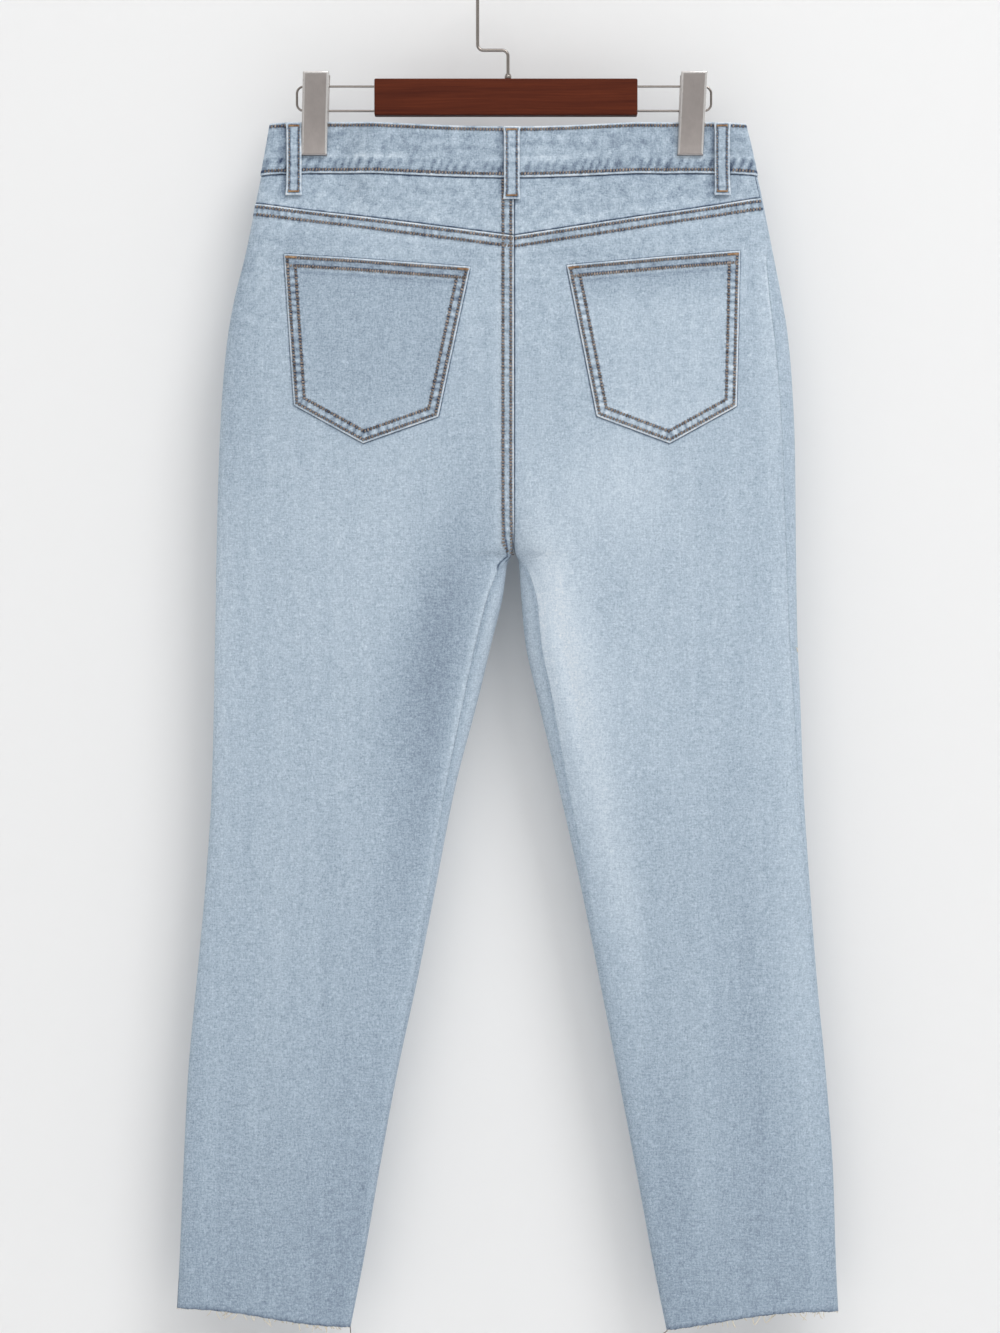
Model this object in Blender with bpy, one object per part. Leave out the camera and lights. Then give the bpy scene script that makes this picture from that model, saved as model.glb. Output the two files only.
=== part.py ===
"""Skinny jeans with raw hems, hanging from a clip hanger, seen from the seat side.

Metres, +Z up. The origin is the inside top of the hanger's hook, where it rests on a rail.
The seat of the jeans faces -Y and the fly faces +Y, so +X is the wearer's right.
"""

import math
import random
from collections import namedtuple

import bmesh
import bpy
from mathutils import Vector
from mathutils.bvhtree import BVHTree

# Cloth and seams
CLOTH = 0.0012
SEAM_GAP = 0.0003
HALF_GAP = SEAM_GAP / 2
BAND_PROUD = 0.0008
POCKET_CLOTH = 0.0010
POCKET_CLEAR = 0.0004

# Lengths down the garment, from the top of the waistband beside a clip
WAIST_DROP = 0.136
BAND_HEIGHT = 0.044
YOKE_CENTRE = 0.0995
YOKE_SIDE = {-1: 0.070, 1: 0.065}
YOKE_FADES = 0.165
CROTCH = 0.370
SEAT_TURNS_UNDER = 0.300
HEM = 1.030
HEM_TILT = 0.016

# How the waistband hangs between the clips
CLIP_X = {-1: -0.1641, 1: 0.1580}
WAIST_SAG = 0.0055
SAG_ENDS = 0.158
END_SAG = 0.0015
PINCH_FLAT = 0.016
PINCH_SOFT = 0.038
PINCH_HOLDS = 0.030
PINCH_ENDS = 0.112

# Share of the width over which the inner side of a leg closes to its inseam
INNER_CLOSES_AT_CROTCH = 0.24
INNER_CLOSES_AT_KNEE = 0.55
KNEE_BELOW_CROTCH = 0.30

# Extra roundness that the seam allowances give to a folded side
BEAD_RADIUS = 0.0016
BEAD_REACH = 0.012

# Outline of the seat side (x of both side folds and both inseam folds) and how far the cloth stands out
Section = namedtuple("Section", "drop left inner_left inner_right right back front")
SECTIONS = (
    Section(-0.020, -0.1995, 0.0050, 0.0050, 0.1990, 0.0110, 0.0100),
    Section(0.000, -0.2030, 0.0050, 0.0050, 0.2028, 0.0120, 0.0110),
    Section(0.020, -0.2064, 0.0050, 0.0050, 0.2077, 0.0132, 0.0118),
    Section(0.048, -0.2115, 0.0050, 0.0050, 0.2137, 0.0152, 0.0130),
    Section(0.082, -0.2180, 0.0050, 0.0050, 0.2205, 0.0190, 0.0150),
    Section(0.116, -0.2250, 0.0050, 0.0050, 0.2272, 0.0228, 0.0170),
    Section(0.150, -0.2335, 0.0050, 0.0050, 0.2338, 0.0260, 0.0185),
    Section(0.180, -0.2390, 0.0050, 0.0050, 0.2388, 0.0280, 0.0195),
    Section(0.220, -0.2433, 0.0050, 0.0050, 0.2425, 0.0292, 0.0203),
    Section(0.282, -0.2468, 0.0050, 0.0050, 0.2453, 0.0290, 0.0205),
    Section(0.362, -0.2490, 0.0048, 0.0048, 0.2461, 0.0265, 0.0200),
    Section(0.369, -0.2491, 0.0031, 0.0063, 0.2462, 0.0262, 0.0200),
    Section(0.376, -0.2493, -0.0001, 0.0091, 0.2463, 0.0258, 0.0198),
    Section(0.405, -0.2497, -0.0043, 0.0111, 0.2466, 0.0245, 0.0193),
    Section(0.446, -0.2505, -0.0143, 0.0150, 0.2475, 0.0230, 0.0185),
    Section(0.487, -0.2512, -0.0240, 0.0240, 0.2495, 0.0216, 0.0177),
    Section(0.569, -0.2532, -0.0452, 0.0435, 0.2525, 0.0192, 0.0162),
    Section(0.651, -0.2585, -0.0612, 0.0618, 0.2578, 0.0172, 0.0149),
    Section(0.733, -0.2660, -0.0775, 0.0782, 0.2640, 0.0156, 0.0138),
    Section(0.815, -0.2735, -0.0952, 0.0942, 0.2718, 0.0143, 0.0128),
    Section(0.897, -0.2775, -0.1102, 0.1098, 0.2778, 0.0132, 0.0119),
    Section(0.980, -0.2810, -0.1245, 0.1250, 0.2805, 0.0123, 0.0111),
    Section(1.060, -0.2855, -0.1400, 0.1412, 0.2850, 0.0115, 0.0105),
)

# How far each long seam lies round on the seat side of the fold, at each drop
SeamTurn = namedtuple("SeamTurn", "drop left_side right_side inseam")
SEAM_TURNS = (
    SeamTurn(0.000, -0.0030, 0.0015, 0.0000),
    SeamTurn(0.090, -0.0030, 0.0015, 0.0000),
    SeamTurn(0.125, -0.0030, 0.0085, 0.0000),
    SeamTurn(0.180, -0.0030, 0.0125, 0.0000),
    SeamTurn(0.300, -0.0030, 0.0110, 0.0000),
    SeamTurn(0.372, -0.0030, 0.0090, 0.0000),
    SeamTurn(0.383, -0.0030, 0.0088, 0.0070),
    SeamTurn(0.415, -0.0030, 0.0080, 0.0135),
    SeamTurn(0.470, -0.0030, 0.0070, 0.0130),
    SeamTurn(0.560, -0.0030, 0.0050, 0.0085),
    SeamTurn(0.733, -0.0030, 0.0022, 0.0035),
    SeamTurn(0.850, -0.0030, 0.0015, 0.0018),
    SeamTurn(1.060, -0.0030, 0.0015, 0.0018),
)

# Soft ridges (height above 0) and troughs (below 0) that run from one point down to another
Fold = namedtuple("Fold", "back x_top drop_top x_foot drop_foot width height")
FOLDS = (
    Fold(True, 0.018, 0.372, 0.068, 0.640, 0.013, 0.0022),
    Fold(True, 0.030, 0.330, 0.125, 0.720, 0.024, 0.0016),
    Fold(True, -0.010, 0.378, -0.040, 0.520, 0.007, 0.0014),
    Fold(True, -0.045, 0.330, -0.105, 0.640, 0.022, -0.0018),
    Fold(True, -0.190, 0.700, -0.196, 0.930, 0.020, 0.0014),
    Fold(True, 0.156, 0.660, 0.168, 0.960, 0.020, 0.0014),
    Fold(True, -0.150, 0.052, -0.120, 0.200, 0.022, 0.0015),
    Fold(True, 0.150, 0.052, 0.125, 0.190, 0.022, 0.0014),
    Fold(False, 0.022, 0.372, 0.080, 0.620, 0.014, 0.0020),
    Fold(False, -0.018, 0.372, -0.075, 0.600, 0.014, 0.0020),
    Fold(False, -0.160, 0.070, -0.125, 0.240, 0.024, 0.0016),
    Fold(False, 0.160, 0.070, 0.127, 0.230, 0.024, 0.0016),
    Fold(False, 0.175, 0.640, 0.190, 0.950, 0.022, 0.0012),
    Fold(False, -0.175, 0.620, -0.192, 0.930, 0.022, 0.0012),
)
FOLD_EDGE = 0.026

# The raw edge of each hem, which hangs a little uneven
HEM_SHORTER = {-1: 0.0028, 1: 0.0}
HEM_BOW = {-1: 0.0012, 1: -0.0031}
HEM_RIPPLE = {-1: 0.0014, 1: 0.0006}
HEM_UNEVEN_REACH = 0.10

# Grid of each wall: how many rows between two drops, the same on both sides of a seam
COLUMNS = 16
RowSpan = namedtuple("RowSpan", "top foot rows")
YOKE_ROWS = (RowSpan(BAND_HEIGHT, YOKE_CENTRE, 3),)
PANEL_ROWS = (
    RowSpan(YOKE_CENTRE, YOKE_FADES, 3),
    RowSpan(YOKE_FADES, SEAT_TURNS_UNDER, 4),
    RowSpan(SEAT_TURNS_UNDER, 0.362, 4),
    RowSpan(0.362, 0.385, 5),
    RowSpan(0.385, 0.470, 3),
    RowSpan(0.470, HEM, 11),
)

# Back pockets, each corner as (x, drop)
Pocket = namedtuple("Pocket", "outer_top inner_top inner_foot point outer_foot")
POCKETS = {
    "back_pocket_left": Pocket(
        (-0.1906, 0.1142), (-0.0320, 0.1265), (-0.0590, 0.2538), (-0.1227, 0.2761), (-0.1816, 0.2434)
    ),
    "back_pocket_right": Pocket(
        (0.1974, 0.1114), (0.0496, 0.1251), (0.0750, 0.2533), (0.1368, 0.2761), (0.1940, 0.2443)
    ),
}
POCKET_COLUMNS = 12
POCKET_ROWS = 11

# Belt loops, each by where it is sewn: seat side or fly side, and x at its middle
BeltLoop = namedtuple("BeltLoop", "back x on")
SEAT_LEFT = ("waistband", "back_yoke_left", "back_panel_left")
SEAT_RIGHT = ("waistband", "back_yoke_right", "back_panel_right")
BELT_LOOPS = {
    "belt_loop_centre_back": BeltLoop(True, 0.0032, SEAT_LEFT + SEAT_RIGHT),
    "belt_loop_back_left": BeltLoop(True, -0.1828, SEAT_LEFT),
    "belt_loop_back_right": BeltLoop(True, 0.1832, SEAT_RIGHT),
    "belt_loop_front_left": BeltLoop(False, -0.0980, ("waistband", "front_panel_left")),
    "belt_loop_front_right": BeltLoop(False, 0.1040, ("waistband", "front_panel_right")),
}
LOOP_WIDTH = 0.0115
LOOP_LENGTH = 0.0625
LOOP_START = 0.0006
LOOP_CLOTH = 0.0016
LOOP_FOLDED = 0.0030
LOOP_FOLD_LENGTH = 0.009
LOOP_BOW = 0.0020
LOOP_ROWS = 12

# Waistband closure on the fly side: the right end laps over the left one
BAND_ROWS = 4
BAND_COLUMNS = 56
BAND_OVER_END = 0.018
BAND_UNDER_END = 0.012
BAND_LAP_FLAT = 0.020
BAND_LAP_RAMP = 0.045
BAND_LAP_LIFT = CLOTH + BAND_PROUD + SEAM_GAP
BUTTON_RADIUS = 0.0085
BUTTON_THICK = 0.0030
BUTTON_X = 0.002
BUTTON_DROP = 0.030

# Fly, closed
FLY_OVERLAP = 0.003
FLY_WIDTH = 0.038
FLY_TOP = 0.0505
FLY_FOOT = 0.205
FLY_TIP = 0.18

# Frayed hem threads on a narrow strip parted from the cloth
FRAY_STRIP = 0.0020
FRAY_COLUMNS = 72
FRAY_INSET = 0.00042
FRAY_THREAD = 0.00035
FRAY_SHORT = 0.003
FRAY_LONG = 0.009
FRAY_SIDEWAYS = 0.0022
FRAY_EVERY = 2

# Hanger
WIRE_HOOK = 0.0014
HOOK_RADIUS = 0.026
HOOK_CENTRE = WIRE_HOOK - HOOK_RADIUS
HOOK_SHOULDER = -0.0746
HOOK_BEND = 0.005
HOOK_TIP_ANGLE = math.radians(-35)
HOOK_STEPS = 20
BAR_X = -0.0018
BAR_LENGTH = 0.2246
BAR_THICK = 0.0130
BAR_TOP = -0.0996
BAR_HEIGHT = 0.0312
BAR_EDGE = 0.0012
COLLAR_RADIUS = 0.0029
COLLAR_HEIGHT = 0.0045
ROD_RADIUS = 0.0010
ROD_TOP = -0.1056
ROD_FOOT = -0.1265
ROD_END = {-1: -0.1804, 1: 0.1736}
ROD_BEND = 0.006
CLIP_WIDTH = 0.0222
CLIP_TOP = -0.0943
CLIP_FOOT = -0.1650
CLIP_SHEET = 0.0010
CLIP_TILT = {-1: math.radians(1.6), 1: math.radians(2.6)}
CLIP_JAW_Y = CLOTH + BAND_PROUD + HALF_GAP + SEAM_GAP
CLIP_JAW_TOP = -0.1335
CLIP_PIVOT_Y = 0.0011
CLIP_PIVOT_Z = -0.1120
CLIP_GRIP_Y = 0.0100
CLIP_DEPTH = 0.0045


trees = {}


def eased(share):
    share = min(max(share, 0.0), 1.0)
    return share * share * (3 - 2 * share)


def mixed(first, second, share):
    return first + (second - first) * share


def along(table, column, drop):
    """Reads a column of a table at any drop, on a curve that never overshoots its rows."""
    drops = [row.drop for row in table]
    values = [getattr(row, column) for row in table]
    drop = min(max(drop, drops[0]), drops[-1])
    at = next(i for i in range(len(drops) - 1) if drop <= drops[i + 1])
    slopes = [(values[i + 1] - values[i]) / (drops[i + 1] - drops[i]) for i in range(len(drops) - 1)]

    def tangent(i):
        if i == 0 or i == len(drops) - 1:
            return slopes[min(i, len(slopes) - 1)]
        before, after = slopes[i - 1], slopes[i]
        return 0.0 if before * after <= 0 else 2 * before * after / (before + after)

    span = drops[at + 1] - drops[at]
    s = (drop - drops[at]) / span
    return (
        values[at] * (1 + 2 * s) * (1 - s) ** 2
        + tangent(at) * span * s * (1 - s) ** 2
        + values[at + 1] * s * s * (3 - 2 * s)
        + tangent(at + 1) * span * s * s * (s - 1)
    )


def legness(drop):
    """0 where left and right share one tube, 1 where each leg is its own tube."""
    share = (drop - SEAT_TURNS_UNDER) / (CROTCH - SEAT_TURNS_UNDER)
    return 1 - math.sqrt(max(0.0, 1 - min(max(share, 0.0), 1.0) ** 2))


def edges(side, drop):
    """x of the inner edge (centre seam or inseam fold) and of the side fold."""
    if side < 0:
        return along(SECTIONS, "inner_left", drop), along(SECTIONS, "left", drop)
    return along(SECTIONS, "inner_right", drop), along(SECTIONS, "right", drop)


def pinch(x, drop):
    """1 where a hanger clip holds the cloth flat, 0 where it hangs free."""
    near = min(abs(x - CLIP_X[-1]), abs(x - CLIP_X[1]))
    grip = 1 - eased((near - PINCH_FLAT) / PINCH_SOFT)
    return grip * (1 - eased((drop - PINCH_HOLDS) / (PINCH_ENDS - PINCH_HOLDS)))


def fold_height(back, x, drop):
    height = 0.0
    for fold in FOLDS:
        if fold.back != back:
            continue
        run = fold.drop_foot - fold.drop_top
        share = (drop - fold.drop_top) / run
        reach = eased(share / 0.3) * eased((1 - share) / 0.45)
        middle = mixed(fold.x_top, fold.x_foot, share)
        height += fold.height * reach * math.exp(-(((x - middle) / fold.width) ** 2))
    return height


def half_depth(side, back, x, drop):
    """How far the outside of the cloth stands from the middle plane, at a point of the front view."""
    inner, outer = edges(side, drop)
    width = abs(outer - inner)
    from_inner = min(max(side * (x - inner), -width), width)
    from_outer = width - from_inner
    leg = legness(drop)
    full = along(SECTIONS, "back" if back else "front", drop)
    down_to_knee = eased((drop - CROTCH) / KNEE_BELOW_CROTCH)
    closing = width * mixed(INNER_CLOSES_AT_CROTCH, INNER_CLOSES_AT_KNEE, down_to_knee)
    to_closed = 1 - min(max(from_inner, 0.0) / closing, 1.0)
    inner_side = mixed(1.0, math.sqrt(1 - to_closed**2), leg)
    outer_side = math.sqrt(max(0.0, 1 - (from_inner / width) ** 2))
    round_part = full * inner_side * outer_side
    bead = from_outer * math.exp(-from_outer / BEAD_REACH)
    bead += leg * max(from_inner, 0.0) * math.exp(-max(from_inner, 0.0) / BEAD_REACH)
    free = math.sqrt(round_part**2 + 2 * BEAD_RADIUS * bead)
    clear_of_edges = eased(from_outer / FOLD_EDGE) * mixed(1.0, eased(from_inner / FOLD_EDGE), leg)
    free += fold_height(back, x, drop) * clear_of_edges
    return mixed(free, CLOTH + HALF_GAP, pinch(x, drop))


def share_across(t, leg):
    """Share of the width at the turn t: 0 at the inner edge, 1 at the side fold."""
    return mixed(math.sin(math.pi * t / 2), (1 - math.cos(math.pi * t)) / 2, leg)


def side_row(side, row):
    """Drop at the side fold of the row of cloth that starts at this drop on the inner edge."""
    if row <= BAND_HEIGHT:
        return row
    if row <= YOKE_CENTRE:
        share = (row - BAND_HEIGHT) / (YOKE_CENTRE - BAND_HEIGHT)
        return mixed(BAND_HEIGHT, YOKE_SIDE[side], share)
    if row <= YOKE_FADES:
        share = (row - YOKE_CENTRE) / (YOKE_FADES - YOKE_CENTRE)
        return mixed(YOKE_SIDE[side], YOKE_FADES, share)
    return row - HEM_TILT * max(0.0, row - CROTCH) / (HEM - CROTCH)


def waist_sag(x):
    between = max(0.0, 1 - (x / SAG_ENDS) ** 2)
    beyond = max(0.0, (abs(x) - SAG_ENDS) / (SECTIONS[1].right - SAG_ENDS))
    return WAIST_SAG * between**2 + END_SAG * beyond**2


def row_drop(side, row, share, x):
    drop = mixed(row, side_row(side, row), share)
    drop += waist_sag(x) * (1 - eased((row - BAND_HEIGHT) / (YOKE_CENTRE - BAND_HEIGHT)))
    uneven = HEM_BOW[side] * math.sin(math.pi * share) + HEM_RIPPLE[side] * math.sin(math.tau * share)
    return drop + (uneven - HEM_SHORTER[side]) * eased((row - HEM + HEM_UNEVEN_REACH) / HEM_UNEVEN_REACH)


def skin(side, t, row):
    """Point on the outside of the cloth. t runs 0 to 1 across the seat side, and on to 2 across the fly side."""
    leg = legness(row)
    share = share_across(t, leg)
    drop = mixed(row, side_row(side, row), share)
    inner, outer = edges(side, drop)
    x = mixed(inner, outer, share)
    drop = row_drop(side, row, share, x)
    back = t < 1 or (t > 2 and leg > 0.5)
    y = half_depth(side, back, x, drop)
    return Vector((x, -y if back else y, -WAIST_DROP - drop))


def skin_frame(side, t, row, step=0.002):
    """Outward normal and the direction of growing t, of the skin."""
    first, last = (t, t + step) if t <= 0 else (t - step, t) if t == 2 else (t - step, t + step)
    across = skin(side, last, row) - skin(side, first, row)
    down = skin(side, t, row + step / 10) - skin(side, t, row - step / 10)
    normal = down.cross(across).normalized() * side
    return normal, across.normalized()


def skin_off(side, t, row, lift, shift=0.0):
    """Skin point moved out by lift, and along the section by shift."""
    normal, across = skin_frame(side, t, row)
    return skin(side, t, row) + normal * lift + across * shift


def seam_at(side, column, row, near_side):
    """The turn t at which a long seam lies on this row."""
    drop = side_row(side, row) if near_side else row
    turn = along(SEAM_TURNS, column, drop)
    leg = legness(row)
    inner, outer = edges(side, drop)
    wanted = abs(turn) / abs(outer - inner)
    low, high = 0.0, 1.0
    for _ in range(40):
        middle = (low + high) / 2
        share = share_across(middle, leg)
        passed = (1 - share) < wanted if near_side else share > wanted
        low, high = (low, middle) if passed else (middle, high)
    if near_side:
        return low if turn >= 0 else 2 - low
    return low if turn > 0 else 0.0


def side_seam(side, row):
    return seam_at(side, "left_side" if side < 0 else "right_side", row, True)


def inseam(side, row):
    return seam_at(side, "inseam", row, False)


def painted(name, colour, roughness, metallic=0.0):
    material = bpy.data.materials.get(name) or bpy.data.materials.new(name)
    material.use_nodes = True
    shader = material.node_tree.nodes["Principled BSDF"]
    shader.inputs["Base Color"].default_value = (*colour, 1)
    shader.inputs["Roughness"].default_value = roughness
    shader.inputs["Metallic"].default_value = metallic
    return material


def denim():
    return painted("light_denim", (0.42, 0.54, 0.66), 0.9)


def fray_yarn():
    return painted("fray_yarn", (0.80, 0.79, 0.74), 0.95)


def walnut():
    return painted("red_brown_wood", (0.16, 0.04, 0.02), 0.4)


def nickel():
    return painted("satin_nickel", (0.55, 0.52, 0.49), 0.35, 1.0)


def placed(name, bm, material, smooth_angle=math.radians(40)):
    mesh = bpy.data.meshes.new(name)
    bm.to_mesh(mesh)
    bm.free()
    mesh.materials.append(material)
    mesh.shade_smooth()
    mesh.set_sharp_from_angle(angle=smooth_angle)
    obj = bpy.data.objects.new(name, mesh)
    bpy.context.scene.collection.objects.link(obj)
    return obj


def wall_mesh(columns, rows, outside, inside):
    """A closed wall: a grid, thickened by an extrusion, whose two faces are laid on two surfaces."""
    bm = bmesh.new()
    bmesh.ops.create_grid(bm, x_segments=columns, y_segments=rows, size=0.5)
    grown = bmesh.ops.extrude_face_region(bm, geom=bm.faces[:], use_keep_orig=True)
    outer = {item for item in grown["geom"] if isinstance(item, bmesh.types.BMVert)}
    for vert in bm.verts:
        across, down = vert.co.x + 0.5, 0.5 - vert.co.y
        vert.co = outside(across, down) if vert in outer else inside(across, down)
    bmesh.ops.recalc_face_normals(bm, faces=bm.faces[:])
    return bm


def rows_between(top, spans):
    rows = [top]
    for span in spans:
        rows += [mixed(span.top, span.foot, (i + 1) / span.rows) for i in range(span.rows)]
    return rows


def cloth_wall(name, side, turns, rows, outer_lift=0.0, inner_lift=-CLOTH):
    """A panel between two turns of the section, over a list of rows, short of its seams by half a gap."""
    rows = [rows[0] + HALF_GAP, *rows[1:-1], rows[-1] - HALF_GAP]

    def at(lift):
        def point(across, down):
            row = rows[round(down * (len(rows) - 1))]
            first, last = turns(row)
            shift = HALF_GAP if across < 0.001 else -HALF_GAP if across > 0.999 else 0.0
            return skin_off(side, mixed(first, last, across), row, lift, shift)

        return point

    return placed(name, wall_mesh(COLUMNS, len(rows) - 1, at(outer_lift), at(inner_lift)), denim())


def leg_panels():
    word = {-1: "left", 1: "right"}
    for side in (-1, 1):
        yoke_rows = rows_between(BAND_HEIGHT, YOKE_ROWS)
        seat_rows = rows_between(YOKE_CENTRE, PANEL_ROWS)
        fly_rows = yoke_rows + seat_rows[1:]
        cloth_wall(
            f"back_panel_{word[side]}",
            side,
            lambda row, side=side: (inseam(side, row), side_seam(side, row)),
            seat_rows,
        )
        cloth_wall(
            f"front_panel_{word[side]}",
            side,
            lambda row, side=side: (side_seam(side, row), 2 + inseam(side, row)),
            fly_rows,
        )
        cloth_wall(
            f"back_yoke_{word[side]}",
            side,
            lambda row, side=side: (0.0, side_seam(side, row)),
            yoke_rows,
        )


def turn_past_centre(side, distance):
    """The turn t on the fly side that lies this far past the centre front, negative before it."""
    inner, outer = edges(side, BAND_HEIGHT / 2)
    return 2 + 2 / math.pi * math.asin(distance / abs(outer - inner))


def waistband():
    """One strip, from its end under the button, round the left, the seat and the right, to the end on top."""
    ends = {-1: turn_past_centre(-1, BAND_UNDER_END), 1: turn_past_centre(1, BAND_OVER_END)}
    ramp_starts, ramp_ends = turn_past_centre(1, -BAND_LAP_RAMP), turn_past_centre(1, -BAND_LAP_FLAT)

    def at(lift):
        def point(across, down):
            way = mixed(-ends[-1], ends[1], across)
            side, t = (-1, -way) if way < 0 else (1, way)
            row = mixed(0.0, BAND_HEIGHT - HALF_GAP, down)
            lap = BAND_LAP_LIFT * eased((t - ramp_starts) / (ramp_ends - ramp_starts)) if side > 0 else 0.0
            return skin_off(side, t, row, lift + lap)

        return point

    placed("waistband", wall_mesh(BAND_COLUMNS, BAND_ROWS, at(BAND_PROUD), at(-CLOTH)), denim())


def laid_on(names, back, x, drop, lift):
    """Point above the outermost of some built pieces, at a place of the front view, moved out by lift."""
    facing = -1 if back else 1
    hits = []
    for beside_seam in (0.0, 2 * SEAM_GAP):
        above = Vector((x + beside_seam, facing * 0.1, -WAIST_DROP - drop + beside_seam))
        casts = [tree_of(name).ray_cast(above, Vector((0, -facing, 0))) for name in names]
        hits += [(point, normal) for point, normal, *rest in casts if point]
    point, normal = max(hits, key=lambda hit: facing * hit[0].y)
    return Vector((x, point.y, -WAIST_DROP - drop)) + normal * lift


def tree_of(name):
    if name not in trees:
        mesh = bpy.data.objects[name].data
        corners = [vert.co for vert in mesh.vertices]
        trees[name] = BVHTree.FromPolygons(corners, [face.vertices for face in mesh.polygons])
    return trees[name]


def pocket_place(pocket, across, down):
    """(x, drop) inside the five-cornered pocket."""
    top = Vector(pocket.outer_top).lerp(Vector(pocket.inner_top), across)
    if across < 0.5:
        foot = Vector(pocket.outer_foot).lerp(Vector(pocket.point), across * 2)
    else:
        foot = Vector(pocket.point).lerp(Vector(pocket.inner_foot), across * 2 - 1)
    return top.lerp(foot, down)


def back_pockets():
    for name, pocket in POCKETS.items():
        panel = name.replace("pocket", "panel")

        def at(lift, pocket=pocket, panel=panel):
            def point(across, down):
                x, drop = pocket_place(pocket, across, down)
                return laid_on([panel], True, x, drop, lift)

            return point

        rest = SEAM_GAP + POCKET_CLEAR
        bm = wall_mesh(POCKET_COLUMNS, POCKET_ROWS, at(rest + POCKET_CLOTH), at(rest))
        placed(name, bm, denim())


def loop_lift(down, outside):
    """How far a belt loop stands off the panel, from its top (0) to its foot (1)."""
    length = down * LOOP_LENGTH
    from_end = min(length, LOOP_LENGTH - length)
    middle = eased((from_end - LOOP_FOLD_LENGTH * 0.7) / LOOP_FOLD_LENGTH)
    under = mixed(SEAM_GAP, SEAM_GAP + LOOP_BOW, middle)
    return under + mixed(LOOP_FOLDED, LOOP_CLOTH, middle) if outside else under


def belt_loops():
    for name, loop in BELT_LOOPS.items():

        def at(outside, loop=loop):
            def point(across, down):
                x = loop.x + (across - 0.5) * LOOP_WIDTH
                drop = waist_sag(loop.x) + LOOP_START + down * LOOP_LENGTH
                return laid_on(loop.on, loop.back, x, drop, loop_lift(down, outside))

            return point

        placed(name, wall_mesh(3, LOOP_ROWS, at(True), at(False)), denim())


def fly_flap():
    """The right front's edge, which laps over the zip and is sewn down in a J."""

    fronts = ("front_panel_left", "front_panel_right")
    edge = SECTIONS[0].inner_right - FLY_OVERLAP

    def at(lift):
        def point(across, down):
            drop = mixed(FLY_TOP, FLY_FOOT, down)
            from_foot = 1 - min((FLY_FOOT - drop) / FLY_WIDTH, 1.0)
            width = FLY_WIDTH * math.sqrt(max(1 - from_foot**2, FLY_TIP**2))
            return laid_on(fronts, False, edge + width * across, drop, lift)

        return point

    rest = SEAM_GAP + POCKET_CLEAR
    placed("fly_flap", wall_mesh(5, 14, at(rest + POCKET_CLOTH), at(rest)), denim())


def waist_button():
    """A turned disc with a rim, on the lapped end of the waistband."""
    foot = laid_on(["waistband"], False, BUTTON_X, BUTTON_DROP, SEAM_GAP)
    out = (laid_on(["waistband"], False, BUTTON_X, BUTTON_DROP, 2 * SEAM_GAP) - foot).normalized()
    bm = bmesh.new()
    foot_radius = BUTTON_RADIUS * 0.82
    bmesh.ops.create_cone(
        bm, cap_ends=True, segments=20, radius1=foot_radius, radius2=BUTTON_RADIUS, depth=BUTTON_THICK
    )
    top = max(bm.faces, key=lambda face: face.calc_center_median().z)
    bmesh.ops.inset_region(bm, faces=[top], thickness=BUTTON_RADIUS * 0.22)
    bmesh.ops.translate(bm, verts=top.verts[:], vec=(0, 0, -BUTTON_THICK * 0.2))
    turn = out.to_track_quat("Z", "Y").to_matrix()
    bmesh.ops.rotate(bm, verts=bm.verts[:], cent=(0, 0, 0), matrix=turn)
    bmesh.ops.translate(bm, verts=bm.verts[:], vec=foot + out * BUTTON_THICK / 2)
    placed("waist_button", bm, nickel())


def hem_fray():
    """A narrow strip parted from each raw hem, with loose threads drawn out of its foot."""
    for side, word in ((-1, "left"), (1, "right")):
        rng = random.Random(7 + side)
        top = HEM + HALF_GAP

        def strip(lift, side=side):
            def point(across, down):
                shift = HALF_GAP if across < 0.001 else -HALF_GAP if across > 0.999 else 0.0
                return skin_off(side, 2 * across, mixed(top, top + FRAY_STRIP, down), lift, shift)

            return point

        bm = wall_mesh(FRAY_COLUMNS, 1, strip(0.0), strip(-CLOTH))
        feet = [face for face in bm.faces if face.normal.z < -0.7]
        feet.sort(key=lambda face: face.calc_center_median().x)
        chosen = [face for i, face in enumerate(feet) if i % FRAY_EVERY == 0 and 14 < i < len(feet) - 10]
        bmesh.ops.inset_individual(bm, faces=chosen, thickness=FRAY_INSET)
        for face in chosen:
            draw_thread(bm, face, rng)
        bmesh.ops.recalc_face_normals(bm, faces=bm.faces[:])
        placed(f"hem_fray_{word}", bm, fray_yarn())


def draw_thread(bm, face, rng):
    length = mixed(FRAY_SHORT, FRAY_LONG, rng.random() ** 1.7)
    sideways = rng.uniform(-1, 1) * FRAY_SIDEWAYS
    forward = rng.uniform(-1, 1) * FRAY_SIDEWAYS * 0.4
    for part in (0.3, 1.0):
        grown = bmesh.ops.extrude_discrete_faces(bm, faces=[face])
        face = grown["faces"][0]
        centre = face.calc_center_median()
        step = Vector((sideways * part, forward * part, -length * (0.3 if part < 1 else 0.7)))
        widest = max((vert.co - centre).length for vert in face.verts) or 1
        shrink = FRAY_THREAD * (1.0 if part < 1 else 0.7) / widest
        for vert in face.verts:
            vert.co = centre + (vert.co - centre) * min(1.0, shrink) + step


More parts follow.
